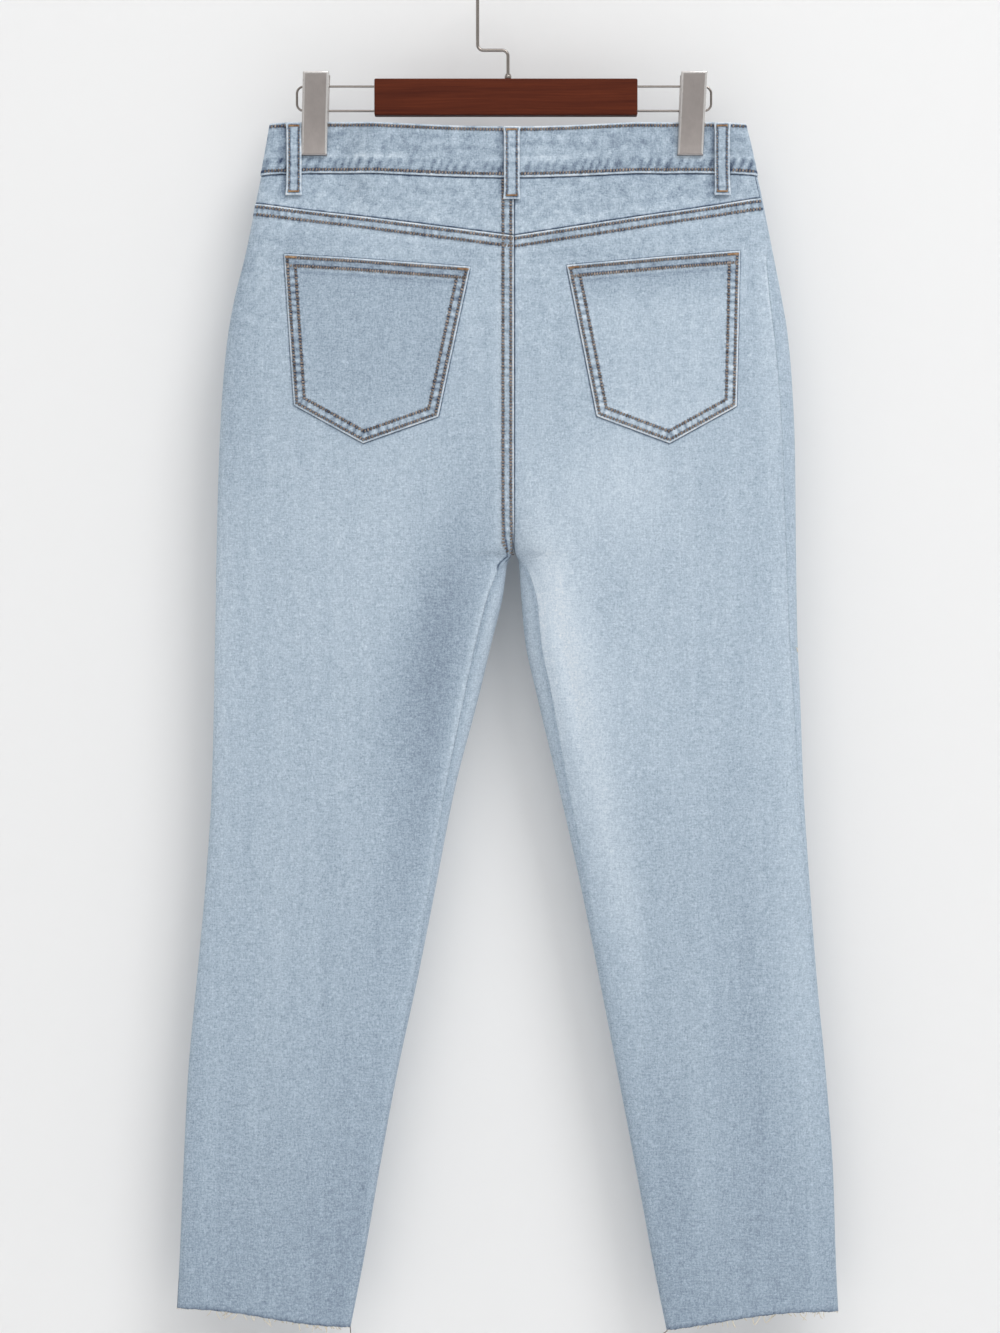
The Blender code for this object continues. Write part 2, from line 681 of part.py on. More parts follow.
def rounded_path(corners, radius, steps=6):
    """Points of a wire through square or slanting corners, each rounded by an arc."""
    points = [Vector(corners[0])]
    for before, corner, after in zip(corners, corners[1:], corners[2:]):
        corner = Vector(corner)
        start = (Vector(before) - corner).normalized()
        end = (Vector(after) - corner).normalized()
        half = start.angle(end) / 2
        centre = corner + (start + end).normalized() * (radius / math.sin(half))
        first = corner + start * (radius / math.tan(half)) - centre
        last = corner + end * (radius / math.tan(half)) - centre
        turn = first.angle(last)
        for i in range(steps + 1):
            share = i / steps
            arc = first * math.sin(turn * (1 - share)) + last * math.sin(turn * share)
            points.append(centre + arc / math.sin(turn))
    return points + [Vector(corners[-1])]


def wire(name, points, radius, material):
    curve = bpy.data.curves.new(name, "CURVE")
    curve.dimensions = "3D"
    curve.bevel_depth = radius
    curve.bevel_resolution = 2
    curve.use_fill_caps = True
    spline = curve.splines.new("POLY")
    spline.points.add(len(points) - 1)
    for place, point in zip(spline.points, points):
        place.co = (*point, 1)
    curve.materials.append(material)
    obj = bpy.data.objects.new(name, curve)
    bpy.context.scene.collection.objects.link(obj)
    return obj


def hanger_hook():
    stem_foot = (0, 0, BAR_TOP + SEAM_GAP)
    corners = [stem_foot, (0, 0, HOOK_SHOULDER), (-HOOK_RADIUS, 0, HOOK_SHOULDER)]
    points = rounded_path([*corners, (-HOOK_RADIUS, 0, HOOK_CENTRE)], HOOK_BEND)
    for i in range(1, HOOK_STEPS + 1):
        angle = mixed(math.pi, HOOK_TIP_ANGLE, i / HOOK_STEPS)
        points.append(Vector((HOOK_RADIUS * math.cos(angle), 0, HOOK_CENTRE + HOOK_RADIUS * math.sin(angle))))
    wire("hanger_hook", points, WIRE_HOOK, nickel())


def hanger_collar():
    bm = bmesh.new()
    bore = WIRE_HOOK + SEAM_GAP
    foot = BAR_TOP + SEAM_GAP
    profile = [(bore, foot), (COLLAR_RADIUS, foot), (COLLAR_RADIUS, foot + COLLAR_HEIGHT * 0.7)]
    profile += [(COLLAR_RADIUS * 0.8, foot + COLLAR_HEIGHT), (bore, foot + COLLAR_HEIGHT)]
    ring = [bm.verts.new((x, 0, z)) for x, z in profile]
    face = bm.faces.new(ring)
    turned = [face, *face.edges, *ring]
    bmesh.ops.spin(bm, geom=turned, cent=(0, 0, 0), axis=(0, 0, 1), angle=math.tau, steps=20, use_merge=True)
    inside = [f for f in bm.faces if len(f.verts) == len(profile)]
    bmesh.ops.delete(bm, geom=inside, context="FACES_ONLY")
    bmesh.ops.remove_doubles(bm, verts=bm.verts[:], dist=1e-6)
    bmesh.ops.recalc_face_normals(bm, faces=bm.faces[:])
    placed("hanger_collar", bm, nickel())


def hanger_bar():
    bm = bmesh.new()
    bmesh.ops.create_cube(bm, size=1.0)
    bmesh.ops.scale(bm, vec=(BAR_LENGTH, BAR_THICK, BAR_HEIGHT), verts=bm.verts[:])
    bmesh.ops.translate(bm, vec=(BAR_X, 0, BAR_TOP - BAR_HEIGHT / 2), verts=bm.verts[:])
    bmesh.ops.bevel(
        bm, geom=bm.edges[:], offset=BAR_EDGE, segments=2, affect="EDGES", profile=0.5, material=-1
    )
    placed("hanger_bar", bm, walnut())


def hanger_rods():
    """On each side, one wire that leaves the bar, turns back beyond the clip and returns to the bar."""
    for side, word in ((-1, "left"), (1, "right")):
        start = BAR_X + side * (BAR_LENGTH / 2 + SEAM_GAP)
        end = ROD_END[side]
        corners = [(start, 0, ROD_TOP), (end, 0, ROD_TOP), (end, 0, ROD_FOOT), (start, 0, ROD_FOOT)]
        wire(f"hanger_rod_{word}", rounded_path(corners, ROD_BEND), ROD_RADIUS, nickel())


def clip_half(name, side, facing):
    """One folded-sheet half of a clip: a plate with two cheeks that come together at the pivot."""
    middle = CLIP_X[side]
    cheek = [(CLIP_JAW_Y, CLIP_FOOT), (CLIP_JAW_Y, CLIP_JAW_TOP)]
    cheek += [(CLIP_PIVOT_Y, CLIP_PIVOT_Z), (CLIP_GRIP_Y, CLIP_TOP)]
    plate = [(CLIP_GRIP_Y + CLIP_DEPTH * 0.6, CLIP_TOP), (CLIP_JAW_Y + CLIP_DEPTH * 0.6, CLIP_FOOT)]
    shell = prism(cheek + plate, middle, CLIP_WIDTH, facing)
    top, foot = CLIP_TOP - CLIP_SHEET, CLIP_FOOT + CLIP_SHEET
    hollow = [(plate[1][0] - CLIP_SHEET, foot), (-CLIP_GRIP_Y, foot)]
    hollow += [(-CLIP_GRIP_Y, top), (plate[0][0] - CLIP_SHEET, top)]
    cutter_mesh = prism(hollow, middle, CLIP_WIDTH - 2 * CLIP_SHEET, facing)
    half = placed(name, shell, nickel())
    cutter = placed(name + "_cutter", cutter_mesh, nickel())
    cutter.hide_render = True
    cutter.display_type = "WIRE"
    cut = half.modifiers.new("hollow", "BOOLEAN")
    cut.operation = "DIFFERENCE"
    cut.solver = "EXACT"
    cut.object = cutter


def prism(profile, middle, width, facing):
    """A (y, z) outline drawn out along x, tilted with its clip about the pivot."""
    side = -1 if middle < 0 else 1
    bm = bmesh.new()
    ring = [bm.verts.new((middle - width / 2, facing * y, z)) for y, z in profile]
    face = bm.faces.new(ring)
    grown = bmesh.ops.extrude_face_region(bm, geom=[face], use_keep_orig=True)
    far = [item for item in grown["geom"] if isinstance(item, bmesh.types.BMVert)]
    bmesh.ops.translate(bm, verts=far, vec=(width, 0, 0))
    for vert in bm.verts:
        vert.co.x += (vert.co.z - CLIP_PIVOT_Z) * math.tan(CLIP_TILT[side])
    bmesh.ops.recalc_face_normals(bm, faces=bm.faces[:])
    return bm


def hanger_clips():
    for side, word in ((-1, "left"), (1, "right")):
        clip_half(f"clip_seat_side_{word}", side, -1)
        clip_half(f"clip_fly_side_{word}", side, 1)


def main():
    for obj in list(bpy.data.objects):
        bpy.data.objects.remove(obj)
    leg_panels()
    waistband()
    back_pockets()
    belt_loops()
    fly_flap()
    waist_button()
    hem_fray()
    hanger_bar()
    hanger_hook()
    hanger_collar()
    hanger_rods()
    hanger_clips()


main()
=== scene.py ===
"""Pale skinny jeans with raw hems on a clip hanger: cloth, sewing, hanger finish, light and camera.

Metres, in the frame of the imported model. The seat of the jeans faces -Y and +X is the wearer's right.
"""

import math
import random
from collections import namedtuple

import bmesh
import bpy
import numpy as np
from mathutils import Matrix, Vector


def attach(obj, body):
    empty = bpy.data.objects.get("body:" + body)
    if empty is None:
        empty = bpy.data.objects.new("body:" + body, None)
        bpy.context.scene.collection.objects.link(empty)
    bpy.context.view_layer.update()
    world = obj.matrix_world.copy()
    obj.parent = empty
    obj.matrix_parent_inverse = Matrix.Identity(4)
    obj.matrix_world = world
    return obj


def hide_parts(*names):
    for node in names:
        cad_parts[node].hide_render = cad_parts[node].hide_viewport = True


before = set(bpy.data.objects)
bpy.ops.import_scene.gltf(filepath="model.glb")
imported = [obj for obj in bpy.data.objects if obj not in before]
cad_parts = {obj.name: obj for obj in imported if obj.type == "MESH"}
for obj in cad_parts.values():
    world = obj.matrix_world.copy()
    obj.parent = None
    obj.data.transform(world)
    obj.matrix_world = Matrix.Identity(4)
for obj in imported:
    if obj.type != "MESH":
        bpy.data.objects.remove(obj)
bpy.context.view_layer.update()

# Back panels of the legs. Stretch denim of one layer, cut in two long pieces that run from the yoke to the
# raw hem. They are joined to the yoke by a felled seam, to each other down the seat, and to the fronts at
# the sides and inseams.
CLOTH = 0.0012
SEAM_GAP = 0.0003
HALF_GAP = SEAM_GAP / 2
WAIST_DROP = 0.136
BAND_HEIGHT = 0.044
YOKE_CENTRE = 0.0995
YOKE_SIDE = {-1: 0.070, 1: 0.065}
YOKE_FADES = 0.165
CROTCH = 0.370
SEAT_TURNS_UNDER = 0.300
HEM = 1.030
HEM_TILT = 0.016
CLIP_X = {-1: -0.1641, 1: 0.1580}
WAIST_SAG = 0.0055
SAG_ENDS = 0.158
END_SAG = 0.0015
PINCH_FLAT = 0.016
PINCH_SOFT = 0.038
PINCH_HOLDS = 0.030
PINCH_ENDS = 0.112
INNER_CLOSES_AT_CROTCH = 0.24
INNER_CLOSES_AT_KNEE = 0.55
KNEE_BELOW_CROTCH = 0.30
BEAD_RADIUS = 0.0016
BEAD_REACH = 0.012
CENTRE_X = 0.0050
FAR = 1.0

Section = namedtuple("Section", "drop left inner_left inner_right right back front")
SECTIONS = [Section(*row) for row in (
    (-0.020, -0.1995, 0.0050, 0.0050, 0.1990, 0.0110, 0.0100),
    (0.000, -0.2030, 0.0050, 0.0050, 0.2028, 0.0120, 0.0110),
    (0.020, -0.2064, 0.0050, 0.0050, 0.2077, 0.0132, 0.0118),
    (0.048, -0.2115, 0.0050, 0.0050, 0.2137, 0.0152, 0.0130),
    (0.082, -0.2180, 0.0050, 0.0050, 0.2205, 0.0190, 0.0150),
    (0.116, -0.2250, 0.0050, 0.0050, 0.2272, 0.0228, 0.0170),
    (0.150, -0.2335, 0.0050, 0.0050, 0.2338, 0.0260, 0.0185),
    (0.180, -0.2390, 0.0050, 0.0050, 0.2388, 0.0280, 0.0195),
    (0.220, -0.2433, 0.0050, 0.0050, 0.2425, 0.0292, 0.0203),
    (0.282, -0.2468, 0.0050, 0.0050, 0.2453, 0.0290, 0.0205),
    (0.362, -0.2490, 0.0048, 0.0048, 0.2461, 0.0265, 0.0200),
    (0.369, -0.2491, 0.0031, 0.0063, 0.2462, 0.0262, 0.0200),
    (0.376, -0.2493, -0.0001, 0.0091, 0.2463, 0.0258, 0.0198),
    (0.405, -0.2497, -0.0043, 0.0111, 0.2466, 0.0245, 0.0193),
    (0.446, -0.2505, -0.0143, 0.0150, 0.2475, 0.0230, 0.0185),
    (0.487, -0.2512, -0.0240, 0.0240, 0.2495, 0.0216, 0.0177),
    (0.569, -0.2532, -0.0452, 0.0435, 0.2525, 0.0192, 0.0162),
    (0.651, -0.2585, -0.0612, 0.0618, 0.2578, 0.0172, 0.0149),
    (0.733, -0.2660, -0.0775, 0.0782, 0.2640, 0.0156, 0.0138),
    (0.815, -0.2735, -0.0952, 0.0942, 0.2718, 0.0143, 0.0128),
    (0.897, -0.2775, -0.1102, 0.1098, 0.2778, 0.0132, 0.0119),
    (0.980, -0.2810, -0.1245, 0.1250, 0.2805, 0.0123, 0.0111),
    (1.060, -0.2855, -0.1400, 0.1412, 0.2850, 0.0115, 0.0105),
)]

# How far each long seam lies round on the seat side of the fold, at each drop
SeamTurn = namedtuple("SeamTurn", "drop left_side right_side inseam")
SEAM_TURNS = [SeamTurn(*row) for row in (
    (0.000, -0.0030, 0.0015, 0.0000),
    (0.090, -0.0030, 0.0015, 0.0000),
    (0.125, -0.0030, 0.0085, 0.0000),
    (0.180, -0.0030, 0.0125, 0.0000),
    (0.300, -0.0030, 0.0110, 0.0000),
    (0.372, -0.0030, 0.0090, 0.0000),
    (0.383, -0.0030, 0.0088, 0.0070),
    (0.415, -0.0030, 0.0080, 0.0135),
    (0.470, -0.0030, 0.0070, 0.0130),
    (0.560, -0.0030, 0.0050, 0.0085),
    (0.733, -0.0030, 0.0022, 0.0035),
    (0.850, -0.0030, 0.0015, 0.0018),
    (1.060, -0.0030, 0.0015, 0.0018),
)]

# Soft ridges (height above 0) and troughs (below 0) that run from one point down to another
Fold = namedtuple("Fold", "back x_top drop_top x_foot drop_foot width height")
FOLDS = [Fold(*row) for row in (
    (True, 0.018, 0.372, 0.068, 0.640, 0.013, 0.0022),
    (True, 0.030, 0.330, 0.125, 0.720, 0.024, 0.0016),
    (True, -0.010, 0.378, -0.040, 0.520, 0.007, 0.0014),
    (True, -0.045, 0.330, -0.105, 0.640, 0.022, -0.0018),
    (True, -0.190, 0.700, -0.196, 0.930, 0.020, 0.0014),
    (True, 0.156, 0.660, 0.168, 0.960, 0.020, 0.0014),
    (True, -0.150, 0.052, -0.120, 0.200, 0.022, 0.0015),
    (True, 0.150, 0.052, 0.125, 0.190, 0.022, 0.0014),
    (False, 0.022, 0.372, 0.080, 0.620, 0.014, 0.0020),
    (False, -0.018, 0.372, -0.075, 0.600, 0.014, 0.0020),
    (False, -0.160, 0.070, -0.125, 0.240, 0.024, 0.0016),
    (False, 0.160, 0.070, 0.127, 0.230, 0.024, 0.0016),
    (False, 0.175, 0.640, 0.190, 0.950, 0.022, 0.0012),
    (False, -0.175, 0.620, -0.192, 0.930, 0.022, 0.0012),
)]
FOLD_EDGE = 0.026

# Finer creases, shallow enough to be left to the cloth alone
CREASES = [Fold(*row) for row in (
    (True, 0.158, 0.640, 0.178, 0.900, 0.007, 0.0007),
    (True, 0.196, 0.620, 0.212, 0.930, 0.009, -0.0007),
    (True, 0.118, 0.780, 0.140, 0.990, 0.007, -0.0005),
    (True, -0.205, 0.600, -0.222, 0.900, 0.009, -0.0006),
    (True, -0.165, 0.720, -0.180, 0.960, 0.008, 0.0006),
    (True, -0.110, 0.800, -0.140, 0.985, 0.008, -0.0005),
    (True, -0.020, 0.400, -0.062, 0.560, 0.005, -0.0009),
    (True, -0.030, 0.345, -0.085, 0.470, 0.008, 0.0006),
    (True, 0.036, 0.400, 0.070, 0.560, 0.006, -0.0008),
    (True, 0.020, 0.300, 0.030, 0.420, 0.007, 0.0005),
    (True, -0.150, 0.048, -0.135, 0.098, 0.006, 0.0004),
    (True, 0.140, 0.048, 0.128, 0.096, 0.006, 0.0004),
    (True, -0.040, 0.048, -0.052, 0.096, 0.005, -0.0003),
    (True, 0.052, 0.048, 0.066, 0.094, 0.005, -0.0003),
    (True, -0.216, 0.290, -0.228, 0.470, 0.008, 0.0005),
    (True, 0.214, 0.280, 0.222, 0.450, 0.008, 0.0005),
    (False, 0.040, 0.390, 0.085, 0.580, 0.006, -0.0009),
    (False, -0.035, 0.390, -0.082, 0.560, 0.006, -0.0009),
    (False, 0.150, 0.600, 0.168, 0.860, 0.008, 0.0007),
    (False, -0.150, 0.620, -0.172, 0.900, 0.008, -0.0007),
    (False, 0.205, 0.660, 0.216, 0.940, 0.009, -0.0006),
    (False, -0.198, 0.640, -0.212, 0.920, 0.009, 0.0006),
    (False, 0.090, 0.760, 0.122, 0.960, 0.007, 0.0005),
    (False, -0.150, 0.055, -0.120, 0.170, 0.008, 0.0006),
    (False, 0.152, 0.055, 0.118, 0.160, 0.008, 0.0006),
)]
HEM_SHORTER = {-1: 0.0028, 1: 0.0}
HEM_BOW = {-1: -0.0012, 1: -0.0044}
HEM_RIPPLE = {-1: 0.0014, 1: 0.0006}
HEM_UNEVEN_REACH = 0.10
RAW_EDGE = 0.0020
RAGGED = 0.00022
RAGGED_REACH = 0.006

# Felled seams: how wide the doubled strip is, how proud it stands and how it ropes
FELL_WIDTH = 0.0115
FELL_PROUD = 0.00040
ROPE_HEIGHT = 0.00024
ROPE_PERIOD = 0.0068
ROPE_TONE = 0.115

# Rows of stitches: how far the first and the second row lie from a folded edge, and the furrow they pull,
# which the denim darkens as painted shade
EDGE_ROW = 0.0027
SECOND_ROW = 0.0093
FURROW = 0.0020

# Outlines of the back pockets, each corner as (x, drop)
Pocket = namedtuple("Pocket", "outer_top inner_top inner_foot point outer_foot")
POCKETS = {
    -1: Pocket((-0.1906, 0.1142), (-0.0320, 0.1265), (-0.0590, 0.2538), (-0.1227, 0.2761), (-0.1816, 0.2434)),
    1: Pocket((0.1974, 0.1114), (0.0496, 0.1251), (0.0750, 0.2533), (0.1368, 0.2761), (0.1940, 0.2443)),
}

# Wash: how pale the cloth is down its length, and soft paler (above 0) or deeper (below 0) places, partly the
# wash's fading and partly painted shade and highlight
Tone = namedtuple("Tone", "drop pale")
WASH_DOWN = [Tone(*row) for row in (
    (0.000, -0.045),
    (0.090, -0.020),
    (0.130, 0.005),
    (0.240, 0.010),
    (0.400, 0.022),
    (0.600, -0.004),
    (0.800, -0.050),
    (0.920, -0.083),
    (1.035, -0.120),
)]
Patch = namedtuple("Patch", "back x drop reach_x reach_drop lean pale")
WASH_AND_SHADE_PATCHES = [Patch(*row) for row in (
    (True, 0.095, 0.310, 0.050, 0.050, 0.0, 0.095),
    (True, 0.045, 0.430, 0.022, 0.090, 0.18, 0.185),
    (True, -0.246, 0.430, 0.014, 0.120, 0.0, 0.055),
    (True, 0.240, 0.430, 0.014, 0.120, 0.0, 0.040),
    (True, -0.172, 0.106, 0.018, 0.006, 0.0, -0.070),
    (True, -0.032, 0.114, 0.014, 0.010, 0.0, -0.060),
    (True, 0.062, 0.112, 0.030, 0.008, 0.0, -0.060),
    (True, 0.113, 0.058, 0.050, 0.030, 0.0, -0.030),
    (True, 0.090, 0.480, 0.060, 0.110, 0.10, 0.030),
    (True, -0.060, 0.440, 0.032, 0.110, -0.22, -0.185),
    (True, -0.090, 0.310, 0.060, 0.040, 0.0, 0.010),
    (True, -0.232, 0.170, 0.016, 0.140, 0.0, -0.060),
    (True, 0.226, 0.175, 0.014, 0.120, 0.0, 0.055),
    (True, -0.120, 0.380, 0.100, 0.100, 0.0, 0.025),
    (True, 0.083, 0.600, 0.020, 0.110, 0.20, 0.130),
    (True, -0.078, 0.590, 0.022, 0.120, -0.22, -0.075),
    (True, 0.205, 0.760, 0.018, 0.180, 0.08, -0.035),
    (True, 0.250, 0.760, 0.016, 0.200, 0.06, 0.065),
    (True, 0.135, 0.880, 0.012, 0.120, 0.12, -0.030),
    (True, 0.165, 0.850, 0.014, 0.130, 0.12, 0.030),
    (True, -0.200, 0.760, 0.020, 0.170, -0.06, 0.030),
    (True, -0.250, 0.760, 0.014, 0.200, -0.06, 0.030),
    (True, -0.128, 0.930, 0.030, 0.110, -0.10, -0.045),
    (True, 0.110, 0.760, 0.016, 0.120, 0.14, 0.035),
    (False, 0.110, 0.450, 0.050, 0.180, 0.10, 0.090),
    (False, -0.110, 0.450, 0.050, 0.180, -0.10, 0.090),
    (False, 0.165, 0.760, 0.040, 0.090, 0.05, 0.070),
    (False, -0.165, 0.760, 0.040, 0.090, -0.05, 0.070),
)]


def eased(share):
    share = np.clip(share, 0.0, 1.0)
    return share * share * (3 - 2 * share)


def mixed(first, second, share):
    return first + (second - first) * share


def along(table, column, drop):
    """Reads a column of a table at any drops, on a curve that never overshoots its rows."""
    drops = np.array([row.drop for row in table])
    values = np.array([getattr(row, column) for row in table])
    slopes = np.diff(values) / np.diff(drops)
    before, after = slopes[:-1], slopes[1:]
    turns_back = before * after <= 0
    middle = np.where(turns_back, 0.0, 2 * before * after / np.where(turns_back, 1.0, before + after))
    tangents = np.concatenate([slopes[:1], middle, slopes[-1:]])
    drop = np.clip(drop, drops[0], drops[-1])
    at = np.clip(np.searchsorted(drops, drop) - 1, 0, len(drops) - 2)
    span = drops[at + 1] - drops[at]
    s = (drop - drops[at]) / span
    return (
        values[at] * (1 + 2 * s) * (1 - s) ** 2
        + tangents[at] * span * s * (1 - s) ** 2
        + values[at + 1] * s * s * (3 - 2 * s)
        + tangents[at + 1] * span * s * s * (s - 1)
    )


def legness(drop):
    """0 where left and right share one tube, 1 where each leg is its own tube."""
    share = (drop - SEAT_TURNS_UNDER) / (CROTCH - SEAT_TURNS_UNDER)
    return 1 - np.sqrt(1 - np.clip(share, 0.0, 1.0) ** 2)


def edges(side, drop):
    """x of the inner edge (centre seam or inseam fold) and of the side fold."""
    if side < 0:
        return along(SECTIONS, "inner_left", drop), along(SECTIONS, "left", drop)
    return along(SECTIONS, "inner_right", drop), along(SECTIONS, "right", drop)


def pinch(x, drop):
    """1 where a hanger clip holds the cloth flat, 0 where it hangs free."""
    near = np.minimum(np.abs(x - CLIP_X[-1]), np.abs(x - CLIP_X[1]))
    grip = 1 - eased((near - PINCH_FLAT) / PINCH_SOFT)
    return grip * (1 - eased((drop - PINCH_HOLDS) / (PINCH_ENDS - PINCH_HOLDS)))


def fold_height(back, x, drop, folds=FOLDS):
    height = 0.0
    for fold in folds:
        if fold.back != back:
            continue
        share = (drop - fold.drop_top) / (fold.drop_foot - fold.drop_top)
        reach = eased(share / 0.3) * eased((1 - share) / 0.45)
        middle = mixed(fold.x_top, fold.x_foot, share)
        height = height + fold.height * reach * np.exp(-(((x - middle) / fold.width) ** 2))
    return height


def half_depth(side, back, x, drop):
    """How far the outside of the cloth stands from the middle plane, at a point of the front view."""
    inner, outer = edges(side, drop)
    width = np.abs(outer - inner)
    from_inner = np.clip(side * (x - inner), -width, width)
    from_outer = width - from_inner
    leg = legness(drop)
    full = along(SECTIONS, "back" if back else "front", drop)
    down_to_knee = eased((drop - CROTCH) / KNEE_BELOW_CROTCH)
    closing = width * mixed(INNER_CLOSES_AT_CROTCH, INNER_CLOSES_AT_KNEE, down_to_knee)
    to_closed = 1 - np.clip(from_inner / closing, 0.0, 1.0)
    inner_side = mixed(1.0, np.sqrt(1 - to_closed**2), leg)
    outer_side = np.sqrt(np.maximum(0.0, 1 - (from_inner / width) ** 2))
    round_part = full * inner_side * outer_side
    positive = np.maximum(from_inner, 0.0)
    bead = from_outer * np.exp(-from_outer / BEAD_REACH) + leg * positive * np.exp(-positive / BEAD_REACH)
    free = np.sqrt(round_part**2 + 2 * BEAD_RADIUS * bead)
    clear_of_edges = eased(from_outer / FOLD_EDGE) * mixed(1.0, eased(from_inner / FOLD_EDGE), leg)
    free = free + fold_height(back, x, drop) * clear_of_edges
    return mixed(free, CLOTH + HALF_GAP, pinch(x, drop))


def share_across(t, leg):
    """Share of the width at the turn t: 0 at the inner edge, 1 at the side fold."""
    return mixed(np.sin(np.pi * t / 2), (1 - np.cos(np.pi * t)) / 2, leg)


def side_row(side, row):
    """Drop at the side fold of the row of cloth that starts at this drop on the inner edge."""
    yoke_share = (row - BAND_HEIGHT) / (YOKE_CENTRE - BAND_HEIGHT)
    seat_share = (row - YOKE_CENTRE) / (YOKE_FADES - YOKE_CENTRE)
    lower = row - HEM_TILT * np.maximum(0.0, row - CROTCH) / (HEM - CROTCH)
    upper = np.where(row <= YOKE_FADES, mixed(YOKE_SIDE[side], YOKE_FADES, seat_share), lower)
    upper = np.where(row <= YOKE_CENTRE, mixed(BAND_HEIGHT, YOKE_SIDE[side], yoke_share), upper)
    return np.where(row <= BAND_HEIGHT, row, upper)


def waist_sag(x):
    between = np.maximum(0.0, 1 - (x / SAG_ENDS) ** 2)
    beyond = np.maximum(0.0, (np.abs(x) - SAG_ENDS) / (SECTIONS[1].right - SAG_ENDS))
    return WAIST_SAG * between**2 + END_SAG * beyond**2


def row_drop(side, row, share, x):
    drop = mixed(row, side_row(side, row), share)
    drop = drop + waist_sag(x) * (1 - eased((row - BAND_HEIGHT) / (YOKE_CENTRE - BAND_HEIGHT)))
    uneven = HEM_BOW[side] * np.sin(np.pi * share) + HEM_RIPPLE[side] * np.sin(2 * np.pi * share)
    return drop + (uneven - HEM_SHORTER[side]) * eased((row - HEM + HEM_UNEVEN_REACH) / HEM_UNEVEN_REACH)


def skin(side, t, row):
    """Points on the outside of the cloth. t runs 0 to 1 across the seat side, and on to 2 on the fly side."""
    leg = legness(row)
    share = share_across(t, leg)
    inner, outer = edges(side, mixed(row, side_row(side, row), share))
    x = mixed(inner, outer, share)
    drop = row_drop(side, row, share, x)
    back = (t < 1) | ((t > 2) & (leg > 0.5))
    y = np.where(back, -half_depth(side, True, x, drop), half_depth(side, False, x, drop))
    return np.stack([x, y, -WAIST_DROP - drop], axis=-1)


def unit(vectors):
    return vectors / np.maximum(np.linalg.norm(vectors, axis=-1, keepdims=True), 1e-12)


def skin_frame(side, t, row, step=0.002):
    """Outward normal and the direction of growing t, of the skin."""
    across = skin(side, np.where(t == 2, t, t + step), row) - skin(side, np.where(t <= 0, t, t - step), row)
    down = skin(side, t, row + step / 10) - skin(side, t, row - step / 10)
    return unit(np.cross(down, across)) * side, unit(across)


def turn_of_share(share, leg):
    """The turn t, from 0 to 1, at which the seat side has come this share of the width."""
    low, high = np.zeros_like(share), np.ones_like(share)
    for _ in range(40):
        middle = (low + high) / 2
        short = share_across(middle, leg) < share
        low, high = np.where(short, middle, low), np.where(short, high, middle)
    return low


def side_seam(side, row):
    drop = side_row(side, row)
    turn = along(SEAM_TURNS, "left_side" if side < 0 else "right_side", drop)
    inner, outer = edges(side, drop)
    t = turn_of_share(1 - np.abs(turn) / np.abs(outer - inner), legness(row))
    return np.where(turn >= 0, t, 2 - t)


def inseam(side, row):
    turn = along(SEAM_TURNS, "inseam", row)
    inner, outer = edges(side, row)
    return np.where(turn > 0, turn_of_share(turn / np.abs(outer - inner), legness(row)), 0.0)


def stations(*spans):
    """Places from one value to the next, each span as (start, end, steps)."""
    places = [np.linspace(start, end, steps, endpoint=False) for start, end, steps in spans]
    return np.concatenate([*places, [spans[-1][1]]])


def rope(run, seed, period=ROPE_PERIOD):
    """The uneven twist of a felled seam along its run: broad pale swells with narrow deep gaps between."""
    drift = 1.9 * np.sin(run * 61 + seed) + 1.2 * np.sin(run * 143 + 2.1 * seed)
    swell = 0.72 + 0.28 * np.sin(run * 97 + 3 * seed)
    twist = np.sin(2 * np.pi * run / period + drift)
    return twist * (1 - 0.4 * twist) * swell


def ragged(run, from_hem):
    """Rise and fall of a raw hem's cut edge along its run."""
    waver = np.sin(run * 1730) * np.sin(run * 310) + np.sin(run * 470 + 2)
    return RAGGED * waver * eased(1 - from_hem / RAGGED_REACH)


def near(distance, middle, reach):
    """1 at a distance from a seam, falling to 0 on both sides of it."""
    return np.exp(-(((distance - middle) / reach) ** 2))


def edge_distances(corners, x, drop):
    """Signed distance outward from each side of an outline, and the run along it, one pair for each side."""
    middle = np.mean(corners, axis=0)
    found = []
    for start, end in zip(corners, corners[1:] + corners[:1]):
        start, way = np.array(start), np.array(end) - np.array(start)
        way = way / np.linalg.norm(way)
        aside = np.array([way[1], -way[0]])
        aside = aside * -np.sign(np.dot(middle - start, aside))
        away_x, away_drop = x - start[0], drop - start[1]
        found.append((away_x * aside[0] + away_drop * aside[1], away_x * way[0] + away_drop * way[1]))
    return found


def wash_and_shade(back, x, drop):
    """Tone of the washed cloth at places of the front view, with painted shade and highlight in some patches:
    0 is the middle tone, above it is paler.
    """
    tone = along(WASH_DOWN, "pale", drop)
    for patch in WASH_AND_SHADE_PATCHES:
        if patch.back != back:
            continue
        middle = patch.x + patch.lean * (drop - patch.drop)
        away = ((x - middle) / patch.reach_x) ** 2 + ((drop - patch.drop) / patch.reach_drop) ** 2
        tone = tone + patch.pale * np.exp(-away)
    return tone


def run_along(points, axis):
    """Length of the cloth from its first row or column, at each point of a grid."""
    steps = np.linalg.norm(np.diff(points, axis=axis), axis=-1)
    start = np.zeros_like(np.take(steps, [0], axis=axis))
    return np.concatenate([start, np.cumsum(steps, axis=axis)], axis=axis)


Cloth = namedtuple("Cloth", "row base normal way from_first from_last from_top from_foot x drop")


